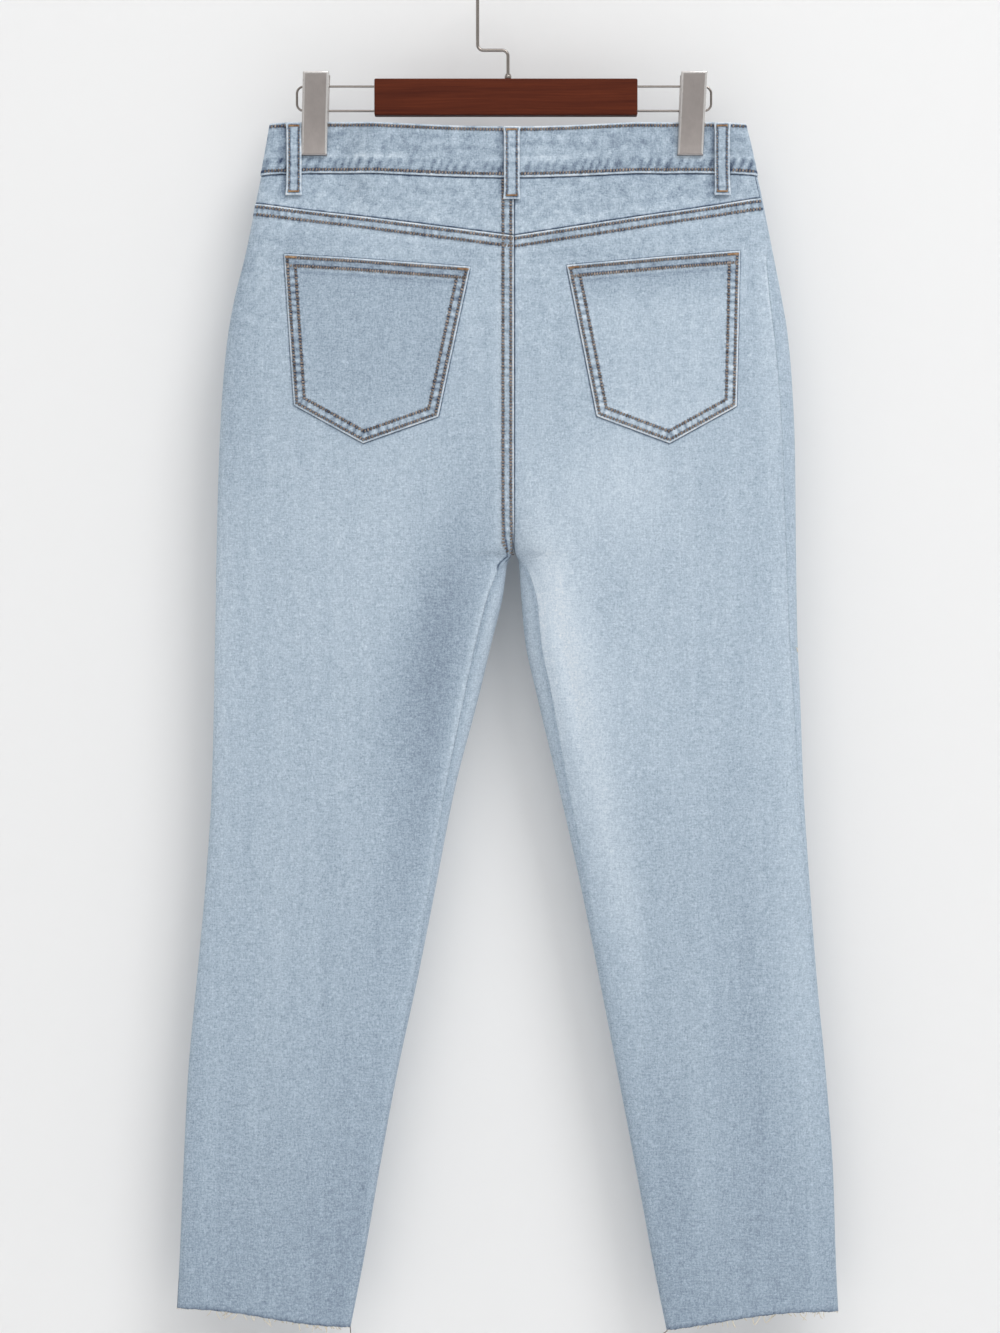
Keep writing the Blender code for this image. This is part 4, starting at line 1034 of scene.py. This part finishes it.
def joined(parts):
    """One mesh in the making out of many small ones."""
    whole = bmesh.new()
    for part in parts:
        mesh = bpy.data.meshes.new("part")
        part.to_mesh(mesh)
        part.free()
        whole.from_mesh(mesh)
        bpy.data.meshes.remove(mesh)
    return whole


def finished(name, bm, material, replaced=None, sharp=SHARP):
    """Closes a mesh and makes the piece of it, riding the one body."""
    open_edges = [edge for edge in bm.edges if edge.is_boundary]
    bmesh.ops.holes_fill(bm, edges=open_edges)
    bmesh.ops.recalc_face_normals(bm, faces=bm.faces[:])
    obj = made_object(name, bm, material)
    obj.data.shade_smooth()
    obj.data.set_sharp_from_angle(angle=sharp)
    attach(obj, "root")
    if replaced:
        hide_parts(replaced)


def sewn(name, back, rows, material, length=STITCH_LENGTH, width=STITCH_WIDTH, across=False):
    """Stitches along rows, each row as its points in the front view and the lift of the cloth under it."""
    rng = random.Random(len(name))
    parts = []
    for places, lift in rows:
        bm = bmesh.new()
        points, normals = on_cloth(back, places[:, 0], places[:, 1], lift)
        ways = unit(np.gradient(points, axis=0))
        for point, normal, way in zip(points, normals, ways):
            aside = np.cross(normal, way)
            if across:
                way, aside = aside, way
            way = way + aside * (rng.uniform(-0.12, 0.12) + (0.0 if across else STITCH_SLANT))
            size = length * rng.uniform(0.86, 1.06) / 2
            breadth = width * rng.uniform(0.82, 1.12) / 2
            columns = (way * size, 0), (aside * breadth, 0), (normal * STITCH_HEIGHT / 2, 0), (point, 1)
            place = Matrix([(*column, weight) for column, weight in columns]).transposed()
            bmesh.ops.create_uvsphere(bm, u_segments=6, v_segments=4, radius=1.0, matrix=place)
        parts.append(bm)
    finished(name, joined(parts), material, sharp=math.pi)


def seam_line(side, row, start, end, steps=60):
    """(x, drop) along a row of the cloth, between two shares of its width."""
    share = np.linspace(start, end, steps)
    inner, outer = edges(side, mixed(row, side_row(side, row), share))
    x = mixed(inner, outer, share)
    return np.stack([x, row_drop(side, row, share, x)], axis=1)


def moved_in(corners, distance):
    """The corners of an outline moved in by a distance."""
    corners = [np.array(corner) for corner in corners]
    middle = sum(corners) / len(corners)
    moved = []
    for before, corner, after in zip(corners[-1:] + corners[:-1], corners, corners[1:] + corners[:1]):
        lines = []
        for start, end in ((before, corner), (corner, after)):
            way = unit(end - start)
            aside = np.array([-way[1], way[0]])
            aside = aside * np.sign(np.dot(middle - start, aside))
            lines.append((start + aside * distance, way))
        (a, u), (b, v) = lines
        moved.append(a + u * np.linalg.solve(np.array([u, -v]).T, b - a)[0])
    return moved


def clear_of_loops(places, back):
    """Keeps the stitches that no belt loop covers."""
    kept = np.ones(len(places), bool)
    for loop in BELT_LOOPS:
        if loop.back == back:
            under = np.abs(places[:, 0] - loop.x) < LOOP_WIDTH / 2
            kept &= ~(under & (places[:, 1] < waist_sag(loop.x) + LOOP_START + LOOP_LENGTH))
    return places[kept]


# How far over the skin the stitches lie on each piece, and where the rows and the bar tacks run
BAND_CLEAR = 0.0001
ON_BAND = BAND_PROUD + BAND_CLEAR + STITCH_SITS
ON_FELL = FELL_PROUD + STITCH_SITS
CROTCH_LIFT = 0.0003
ON_POCKET = POCKET_REST + POCKET_CLOTH + FELL_PROUD + STITCH_SITS
LOOP_ROW = 0.0023
TACK_HALF = 0.0046
TACK_TOP = 0.0028
TACK_FOOT = 0.0030
CORNER_TACK = 0.0095
FLY_STITCH_ROWS = (0.0320, 0.0260)
seat_rows, fly_rows = [], []
for side, _ in SIDES:
    for row in (EDGE_ROW - BAND_TOP_WORN, BAND_HEIGHT - EDGE_ROW - BAND_FOOT_WORN):
        line = resampled(seam_line(side, row, 0.0, 0.992), STITCH_PITCH)
        seat_rows.append((clear_of_loops(line, True), ON_BAND))
        if side < 0:
            fly_rows.append((line[line[:, 0] < CENTRE_X - BAND_OVER_END - 0.001], ON_BAND))
        else:
            onto_lap = (CENTRE_X + BAND_LAP_RAMP - line[:, 0]) / (BAND_LAP_RAMP - BAND_LAP_FLAT)
            fly_rows.append((line, ON_BAND + BAND_LAP_LIFT * eased(onto_lap)))
sewn("band_stitches_seat", True, seat_rows, brown_thread)
sewn("band_stitches_fly", False, fly_rows, brown_thread)

yoke_rows, seam_rows = [], []
for side, _ in SIDES:
    for away in (EDGE_ROW, SECOND_ROW):
        line = seam_line(side, YOKE_CENTRE, 0.002, 0.997) + [0, away]
        yoke_rows.append((resampled(line, STITCH_PITCH), ON_FELL))
sewn("yoke_stitches", True, yoke_rows, brown_thread)
for away in (EDGE_ROW, SECOND_ROW):
    x = CENTRE_X - away
    line = [[x, waist_sag(0.0) + BAND_HEIGHT + 0.001], [x, CROTCH - away]]
    line += [[mixed(x, CENTRE_X, 0.35), CROTCH - away * 0.35], [CENTRE_X - 0.0008, CROTCH - away * 0.12]]
    places = clear_of_loops(resampled(line, STITCH_PITCH), True)
    seam_rows.append((places, ON_FELL + CROTCH_LIFT * eased((places[:, 1] - SEAT_TURNS_UNDER) / 0.05)))
sewn("seat_seam_stitches", True, seam_rows, brown_thread)

for side, hand in SIDES:
    pocket_rows = []
    first_row = moved_in(POCKETS[side], EDGE_ROW)
    for away in (EDGE_ROW, SECOND_ROW):
        corners = moved_in(POCKETS[side], away)
        down = [0, corners[0][1] - first_row[0][1]]
        top_line = [first_row[0] + down, first_row[1] + down]
        pocket_rows.append((resampled(top_line, STITCH_PITCH * 0.86), ON_POCKET))
        pocket_rows.append((resampled([*corners[1:], corners[0]], STITCH_PITCH), ON_POCKET))
    sewn(f"pocket_stitches_{hand}", True, pocket_rows, brown_thread)

loop_rows = {True: [], False: []}
tack_rows = {True: [], False: []}
for loop in BELT_LOOPS:
    along_loop = np.arange(0.004, LOOP_LENGTH - 0.004, STITCH_PITCH)
    sag = waist_sag(loop.x) + LOOP_START
    for away in (-1, 1):
        x = np.full_like(along_loop, loop.x + away * (LOOP_WIDTH / 2 - LOOP_ROW))
        drop = sag + along_loop
        lift = loop_rise(along_loop) + band_lift(x, drop) + STITCH_SITS
        loop_rows[loop.back].append((np.stack([x, drop], axis=1), lift))
    for at_loop in (TACK_TOP, LOOP_LENGTH - TACK_FOOT):
        x = loop.x + np.arange(-TACK_HALF, TACK_HALF, TACK_PITCH)
        drop = np.full_like(x, sag + at_loop)
        lift = loop_rise(np.array(at_loop)) + band_lift(x, drop) + STITCH_HEIGHT * 0.4
        tack_rows[loop.back].append((np.stack([x, drop], axis=1), lift))
for pocket in POCKETS.values():
    for corner, other in ((pocket.outer_top, pocket.inner_top), (pocket.inner_top, pocket.outer_top)):
        way = unit(np.array(other) - np.array(corner))
        start = np.array(corner) + way * 0.0012 + [0, 0.0026]
        line = resampled([start, start + way * CORNER_TACK], TACK_PITCH)
        tack_rows[True].append((line, ON_POCKET + STITCH_HEIGHT * 0.3))
for back, word in ((True, "seat"), (False, "fly")):
    sewn(f"loop_stitches_{word}", back, loop_rows[back], brown_thread, width=LOOP_STITCH_WIDTH)
    sewn(f"bar_tacks_{word}", back, tack_rows[back], tan_thread, TACK_LENGTH, TACK_WIDTH, across=True)

j_rows = []
for away in FLY_STITCH_ROWS:
    bend = np.linspace(0.0, np.pi / 2, 14)
    foot = FLY_FOOT - 0.004 - (FLY_STITCH_ROWS[0] - away)
    tip = CENTRE_X - FLY_OVERLAP
    curve = np.stack([tip + away * np.cos(bend), foot - away * (1 - np.sin(bend))], axis=1)
    line = np.concatenate([[[tip + away, FLY_TOP + 0.001]], curve])
    j_rows.append((resampled(line, STITCH_PITCH), FLY_REST + POCKET_CLOTH + STITCH_SITS))
sewn("fly_stitches", False, j_rows, brown_thread)

# Frayed hems. Each leg ends in a raw cut edge with cream weft threads hanging out of it, a few of them long,
# and one dark warp end at each inner corner.
YARN_RADIUS = 0.00044
YARN_SHORT = 0.0030
YARN_LONG = 0.0085
Fringe = namedtuple("Fringe", "side hand start end threads")
FRINGES = (Fringe(-1, "left", 0.18, 0.72, 24), Fringe(1, "right", 0.28, 0.82, 19))
FUZZ = 150
FUZZ_RADIUS = 0.00014
LONG_END = 0.0072
LOOSE_END = (0.2462, 0.4490)
LOOSE_LENGTH = 0.004


def yarn(name, colour, darker):
    material, tree, shader, at = new_material(name)
    fibre = ramp(tree, grain(tree, at, 1500.0, 2.0, 0.6), -0.25, 0.25)
    mix = blended(tree, fibre, darker, colour)
    put(tree, shader, {"Base Color": mix, "Roughness": 0.95, "Sheen Weight": 0.2})
    return material


def tube(points, radii, sides):
    """A round strand through points, closed at both ends."""
    bm = bmesh.new()
    points = [Vector(point) for point in points]
    face, before = None, None
    for i, (point, radius) in enumerate(zip(points, radii)):
        way = points[min(i + 1, len(points) - 1)] - points[max(i - 1, 0)]
        if before is None:
            facing = way.to_track_quat("Z", "Y")
        else:
            facing = (before @ Vector((0, 0, 1))).rotation_difference(way) @ before
        before = facing
        place = Matrix.Translation(point) @ facing.to_matrix().to_4x4() @ Matrix.Scale(radius, 4)
        if face is None:
            ring = bmesh.ops.create_circle(bm, cap_ends=True, segments=sides, radius=1.0, matrix=place)
            face = ring["verts"][0].link_faces[0]
        else:
            face = bmesh.ops.extrude_discrete_faces(bm, faces=[face])["faces"][0]
            bmesh.ops.transform(bm, matrix=place @ last_place.inverted(), verts=face.verts[:])
        last_place = place
    return bm


cream_yarn = yarn("cream_yarn", (0.82, 0.75, 0.62, 1), (0.60, 0.54, 0.44, 1))


def hem_point(side, t):
    """A place inside the cloth's thickness on the raw edge, with its outward and its sideways direction."""
    t, row = np.array([t]), np.array([HEM + RAW_EDGE])
    normal, way = (Vector(direction[0]) for direction in skin_frame(side, t, row))
    return Vector(skin(side, t, row)[0]) - normal * CLOTH * 0.5, normal, way


def hanging(start, drift, length, waver, radius):
    """A loose thread that hangs from a place, drifting sideways as it falls."""
    points = []
    for i in range(6):
        share = i / 5
        aside = drift * (length * share * share) + waver * (length * 0.12 * math.sin(5 * share))
        points.append(start + aside - Vector((0, 0, length * share)))
    return tube(points, [radius] * 5 + [radius * 0.5], 5)


for fringe in FRINGES:
    rng = random.Random(31 + fringe.side)
    threads = []
    for i in range(fringe.threads * 2):
        spread = mixed(fringe.start, fringe.end, (i // 2 + rng.uniform(0.1, 0.9)) / fringe.threads)
        start, normal, way = hem_point(fringe.side, spread if i % 2 == 0 else 2 - spread)
        length = mixed(YARN_SHORT, YARN_LONG, rng.random() ** 1.5)
        drift = way * rng.uniform(-0.9, 0.9) + normal * rng.uniform(-0.10, 0.10)
        waver = way * rng.uniform(-1, 1)
        radius = YARN_RADIUS * rng.uniform(0.7, 1.2)
        threads.append(hanging(start + Vector((0, 0, 0.0012)), drift, length, waver, radius))
    for i in range(FUZZ):
        start, normal, way = hem_point(fringe.side, 2 * (i + rng.random()) / FUZZ)
        length = rng.uniform(0.0006, 0.0020)
        tip = start + way * (length * rng.uniform(-0.8, 0.8)) - Vector((0, 0, length))
        threads.append(tube([start, tip], [FUZZ_RADIUS, FUZZ_RADIUS * 0.5], 3))
    finished(f"fringe_{fringe.hand}", joined(threads), cream_yarn, f"hem_fray_{fringe.hand}")

for side, hand, drift, waver in ((-1, "left", 0.15, 0.3), (1, "right", -1.3, 0.5)):
    start = hem_point(side, 0.012)[0] + Vector((0, 0, 0.001))
    end_thread = hanging(start, Vector((drift, 0, 0)), LONG_END, Vector((waver, 0, 0)), YARN_RADIUS)
    finished(f"long_end_{hand}", end_thread, brown_thread)
start = Vector(on_cloth(True, *LOOSE_END)[0])
loose = hanging(start, Vector((0.5, 0, 0)), LOOSE_LENGTH, Vector((1, 0, 0)), YARN_RADIUS)
finished("loose_end", loose, cream_yarn)

# Hanger metal. Nickel-plated steel wire for the hook and the rods, a turned collar, and folded-sheet clips
# with brushed faces and bevelled rims, the rims lightened by a painted highlight. The waist button is turned
# from the same metal.
WIRE_HOOK = 0.0014
HOOK_RADIUS = 0.026
HOOK_CENTRE = WIRE_HOOK - HOOK_RADIUS
HOOK_SHOULDER = -0.0746
HOOK_BEND = 0.005
HOOK_TIP_ANGLE = math.radians(-8)
HOOK_STEPS = 48
BAR_X = -0.0018
BAR_LENGTH = 0.2246
BAR_TOP = -0.0996
COLLAR_RADIUS = 0.0029
COLLAR_HEIGHT = 0.0045
ROD_RADIUS = 0.0010
ROD_TOP = -0.1056
ROD_FOOT = -0.1265
ROD_END = {-1: -0.1804, 1: 0.1736}
ROD_BEND = 0.006
CLIP_RIM = 0.0011
CLIP_RIM_INSET = 0.0013
CLIP_FIELD_SUNK = 0.0003
CLIP_FIELD_LEAST = 0.0003
# Near-white colour of the painted highlight on a clip's rims
RIM_HIGHLIGHT_COLOUR = (0.88, 0.86, 0.84, 1)


def metal(name, colour, roughness, brushing):
    """Satin plating, brushed along the piece's height, with faint handling marks."""
    material, tree, shader, at = new_material(name)
    brushed, marks = grain(tree, at, (2600.0, 2600.0, 60.0), 3.0, 0.6), grain(tree, at, 160.0, 4.0, 0.6)
    share = sums(tree, 0.5, (brushed, 1.0), (marks, 0.8))
    plated = blended(tree, share, (*(value * 0.80 for value in colour), 1), (*colour, 1))
    # Painted highlight: faces with a rim share take the near-white rim colour and a smoother finish
    rim_highlight = node(tree, "ShaderNodeAttribute", {}, attribute_name="rim_highlight").outputs["Fac"]
    rough = ramp(tree, brushed, -0.5, 0.5, roughness - 0.06, roughness + 0.06)
    finish = {
        "Base Color": blended(tree, rim_highlight, plated, RIM_HIGHLIGHT_COLOUR),
        "Roughness": sums(tree, rough, (marks, 0.10), (rim_highlight, -0.16)),
        "Metallic": 1.0,
        "Normal": dented(tree, brushed, brushing, 0.0001),
    }
    put(tree, shader, finish)
    return material


clip_metal = metal("clip_metal", (0.485, 0.44, 0.42), 0.38, 0.25)
wire_metal = metal("wire_metal", (0.36, 0.325, 0.30), 0.20, 0.05)


def rounded_path(corners, radius, steps=8):
    """Points of a wire through square corners, each rounded by an arc."""
    points = [Vector(corners[0])]
    for before, corner, after in zip(corners, corners[1:], corners[2:]):
        corner = Vector(corner)
        start = (Vector(before) - corner).normalized()
        end = (Vector(after) - corner).normalized()
        half = start.angle(end) / 2
        centre = corner + (start + end).normalized() * (radius / math.sin(half))
        first = corner + start * (radius / math.tan(half)) - centre
        last = corner + end * (radius / math.tan(half)) - centre
        turn = first.angle(last)
        for i in range(steps + 1):
            share = i / steps
            arc = first * math.sin(turn * (1 - share)) + last * math.sin(turn * share)
            points.append(centre + arc / math.sin(turn))
    return points + [Vector(corners[-1])]


stem = [(0, 0, BAR_TOP + SEAM_GAP), (0, 0, HOOK_SHOULDER), (-HOOK_RADIUS, 0, HOOK_SHOULDER)]
hook_line = rounded_path([*stem, (-HOOK_RADIUS, 0, HOOK_CENTRE)], HOOK_BEND)
for i in range(1, HOOK_STEPS + 1):
    angle = mixed(math.pi, HOOK_TIP_ANGLE, i / HOOK_STEPS)
    hook_line.append(Vector((HOOK_RADIUS * math.cos(angle), 0, HOOK_CENTRE + HOOK_RADIUS * math.sin(angle))))
hook_radii = [WIRE_HOOK] * (len(hook_line) - 1) + [WIRE_HOOK * 0.8]
finished("wire_hook", tube(hook_line, hook_radii, 20), wire_metal, "hanger_hook")

for side, hand in SIDES:
    start = BAR_X + side * (BAR_LENGTH / 2 + SEAM_GAP)
    end = ROD_END[side]
    corners = [(start, 0, ROD_TOP), (end, 0, ROD_TOP), (end, 0, ROD_FOOT), (start, 0, ROD_FOOT)]
    rod_line = rounded_path(corners, ROD_BEND)
    rod = tube(rod_line, [ROD_RADIUS] * len(rod_line), 16)
    finished(f"wire_rod_{hand}", rod, wire_metal, f"hanger_rod_{hand}")


def turned(name, profile, replaced, place=Matrix.Identity(4), steps=48):
    """A ring or disc turned from a profile of (radius, height) about the Z axis, then put in place."""
    bm = bmesh.new()
    line = [bm.verts.new((radius, 0, height)) for radius, height in profile]
    outline = [bm.edges.new(pair) for pair in zip(line, line[1:])]
    whole_turn = {"cent": (0, 0, 0), "axis": (0, 0, 1), "angle": math.tau, "steps": steps}
    bmesh.ops.spin(bm, geom=[*line, *outline], use_merge=True, **whole_turn)
    bmesh.ops.remove_doubles(bm, verts=bm.verts[:], dist=1e-6)
    bmesh.ops.transform(bm, matrix=place, verts=bm.verts[:])
    finished(name, bm, wire_metal, replaced)


bore, foot = WIRE_HOOK + SEAM_GAP, BAR_TOP + SEAM_GAP
shoulder, collar_top = foot + COLLAR_HEIGHT * 0.62, foot + COLLAR_HEIGHT
collar_profile = [(bore, foot), (COLLAR_RADIUS - 0.0002, foot), (COLLAR_RADIUS, foot + 0.0003)]
collar_profile += [(COLLAR_RADIUS, shoulder), (COLLAR_RADIUS * 0.92, shoulder + 0.0004)]
collar_profile += [(COLLAR_RADIUS * 0.80, shoulder + 0.0006), (COLLAR_RADIUS * 0.78, collar_top - 0.0002)]
collar_profile += [(COLLAR_RADIUS * 0.70, collar_top), (bore, collar_top), (bore, foot)]
turned("turned_collar", collar_profile, "hanger_collar")

BUTTON_RADIUS = 0.0085
BUTTON_THICK = 0.0030
BUTTON_PLACE = (0.002, 0.030)
button_foot, button_way = on_cloth(False, *BUTTON_PLACE, BAND_PROUD + BAND_LAP_LIFT + SEAM_GAP)
button_turn = Vector(button_way).to_track_quat("Z", "Y").to_matrix().to_4x4()
top = BUTTON_THICK
button_profile = [(0.0, 0.0), (0.0058, 0.0), (0.0070, 0.0004), (0.0084, 0.0018), (BUTTON_RADIUS, 0.0023)]
button_profile += [(0.0083, top - 0.0002), (0.0078, top), (0.0070, top - 0.0001), (0.0066, top - 0.0007)]
button_profile += [(0.0052, top - 0.0010), (0.0030, top - 0.0006)]
button_profile += [(0.0012, top - 0.0005), (0.0, top - 0.0005)]
turned("turned_button", button_profile, "waist_button", Matrix.Translation(button_foot) @ button_turn)

# Painted highlight: how bright the rims are at the right, left, upper and lower edges of a clip
RIM_HIGHLIGHT_SHARES = {"right": 1.0, "left": 0.5, "upper": 0.7, "lower": 0.0}
CLIP_FOLD_ANGLE = 0.5
for half in ("clip_seat_side", "clip_fly_side"):
    for side, hand in SIDES:
        source = f"{half}_{hand}"
        bm = bmesh.new()
        bm.from_mesh(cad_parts[source].data)
        bmesh.ops.remove_doubles(bm, verts=bm.verts[:], dist=1e-5)
        bmesh.ops.dissolve_limit(bm, angle_limit=0.02, verts=bm.verts[:], edges=bm.edges[:])
        rim_highlight = bm.faces.layers.float.new("rim_highlight")
        folded = [edge for edge in bm.edges if edge.is_manifold and edge.calc_face_angle() > CLIP_FOLD_ANGLE]
        rims = bmesh.ops.bevel(
            bm, geom=folded, offset=CLIP_RIM, segments=2, affect="EDGES", profile=0.5, material=-1
        )
        bm.normal_update()
        flat_faces = [face for face in bm.faces if abs(face.normal.y) > 0.8]
        fields = [face for face in flat_faces if face.calc_area() > CLIP_FIELD_LEAST]
        rings = bmesh.ops.inset_individual(bm, faces=fields, thickness=CLIP_RIM_INSET, depth=-CLIP_FIELD_SUNK)
        places = np.array([vert.co for vert in bm.verts])
        middle, half_size = (places.max(0) + places.min(0)) / 2, np.ptp(places, axis=0) / 2
        # Painted highlight: each bevel and inset face gets a share of the rim colour by the edge it lies on
        for face in {*rims["faces"], *rings["faces"]}:
            across, _, up = (np.array(face.calc_center_median()) - middle) / half_size
            if abs(across) > abs(up):
                face[rim_highlight] = RIM_HIGHLIGHT_SHARES["right" if across > 0 else "left"]
            else:
                face[rim_highlight] = RIM_HIGHLIGHT_SHARES["upper" if up > 0 else "lower"]
        finished(f"bevelled_{source}", bm, clip_metal, source)

# Hanger bar. A straight bar of red-brown stained and lacquered hardwood, its grain along its length.


def red_brown_wood():
    material, tree, shader, at = new_material("red_brown_wood")
    waver = grain(tree, at, (6.0, 20.0, 20.0), 3.0, 0.5)
    along_bar = node(tree, "ShaderNodeSeparateXYZ", {0: at}).outputs
    height = sums(tree, along_bar["Z"], (waver, 0.010))
    lines = node(tree, "ShaderNodeCombineXYZ", {0: along_bar["X"], 1: along_bar["Y"], 2: height}).outputs[0]
    fibre = grain(tree, lines, (22.0, 900.0, 900.0), 4.0, 0.65)
    bands = grain(tree, lines, (5.0, 140.0, 140.0), 3.0, 0.5)
    stain = (0.15, (0.058, 0.0095, 0.0038)), (0.85, (0.122, 0.0245, 0.0085))
    finish = {
        "Base Color": colour_at(tree, sums(tree, 0.5, (fibre, 1.0), (bands, 1.1)), stain),
        "Roughness": 0.50,
        "Specular IOR Level": 0.12,
        "Normal": dented(tree, fibre, 0.12, 0.0003),
    }
    put(tree, shader, finish)
    return material


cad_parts["hanger_bar"].material_slots[0].material = red_brown_wood()


# Camera, light and the room. The photograph looks straight at the seat side from far off.
PIXELS_PER_METRE = 1170
IMAGE = (1000, 1333)
ORIGIN_PIXEL = (508, -37)
CAMERA_FROM_CLOTH = 3.0
CLOTH_Y = 0.0
SENSOR = 36.0
middle_x = (IMAGE[0] / 2 - ORIGIN_PIXEL[0]) / PIXELS_PER_METRE
middle_z = -(IMAGE[1] / 2 - ORIGIN_PIXEL[1]) / PIXELS_PER_METRE
camera_data = bpy.data.cameras.new("camera")
camera_data.sensor_width = SENSOR
camera_data.lens = SENSOR * CAMERA_FROM_CLOTH * PIXELS_PER_METRE / IMAGE[1]
camera = bpy.data.objects.new("camera", camera_data)
camera.location = (middle_x, CLOTH_Y - CAMERA_FROM_CLOTH, middle_z)
camera.rotation_euler = (math.pi / 2, 0, 0)
bpy.context.scene.collection.objects.link(camera)
bpy.context.scene.camera = camera

WALL_Y = 0.052
WALL_HEIGHT = 3.0
FLOOR_Z = -1.300
ROOM_WIDTH = 6.0


def room_plane(name, size, middle, turn, material):
    bm = bmesh.new()
    bmesh.ops.create_grid(bm, x_segments=1, y_segments=1, size=0.5)
    bmesh.ops.scale(bm, vec=(*size, 1), verts=bm.verts[:])
    bmesh.ops.rotate(bm, verts=bm.verts[:], cent=(0, 0, 0), matrix=Matrix.Rotation(turn, 3, "X"))
    bmesh.ops.translate(bm, verts=bm.verts[:], vec=middle)
    plane = made_object(name, bm, material)
    return plane


def pale_paint():
    """Matt white paint. Seen from behind, the wall shows the room through it, as a set's open side does."""
    material, tree, shader, at = new_material("pale_paint")
    put(tree, shader, {"Base Color": (0.86, 0.86, 0.86, 1), "Roughness": 0.9})
    clear = tree.nodes.new("ShaderNodeBsdfTransparent").outputs[0]
    behind = tree.nodes.new("ShaderNodeNewGeometry").outputs["Backfacing"]
    shown = node(tree, "ShaderNodeMixShader", {0: behind, 1: shader.outputs[0], 2: clear}).outputs[0]
    put(tree, tree.nodes["Material Output"], {"Surface": shown})
    return material


paint = pale_paint()
wall_middle = (0, WALL_Y, FLOOR_Z + WALL_HEIGHT / 2)
wall = room_plane("wall", (ROOM_WIDTH, WALL_HEIGHT), wall_middle, math.pi / 2, paint)
wall.visible_shadow = False
room_plane("floor", (ROOM_WIDTH, ROOM_WIDTH), (0, 0, FLOOR_Z), 0.0, paint)

AIM = Vector((0.0, 0.0, -0.6))
Lamp = namedtuple("Lamp", "name place size power")
for lamp in (
    Lamp("key", (2.2, -3.2, 3.6), 2.4, 132),
    Lamp("fill", (-0.7, -3.8, 2.8), 4.0, 54),
    Lamp("behind", (-1.2, 2.6, 1.2), 2.2, 18),
):
    light = bpy.data.lights.new(lamp.name, "AREA")
    light.shape = "SQUARE"
    light.size = lamp.size
    light.energy = lamp.power
    hung = bpy.data.objects.new(lamp.name, light)
    hung.location = lamp.place
    hung.rotation_euler = (AIM - Vector(lamp.place)).to_track_quat("-Z", "Y").to_euler()
    bpy.context.scene.collection.objects.link(hung)
world = bpy.data.worlds.new("room_light")
world.use_nodes = True
put(world.node_tree, world.node_tree.nodes["Background"], {"Color": (1.0, 1.0, 1.0, 1), "Strength": 0.53})
bpy.context.scene.world = world
bpy.context.scene.view_settings.view_transform = "Standard"
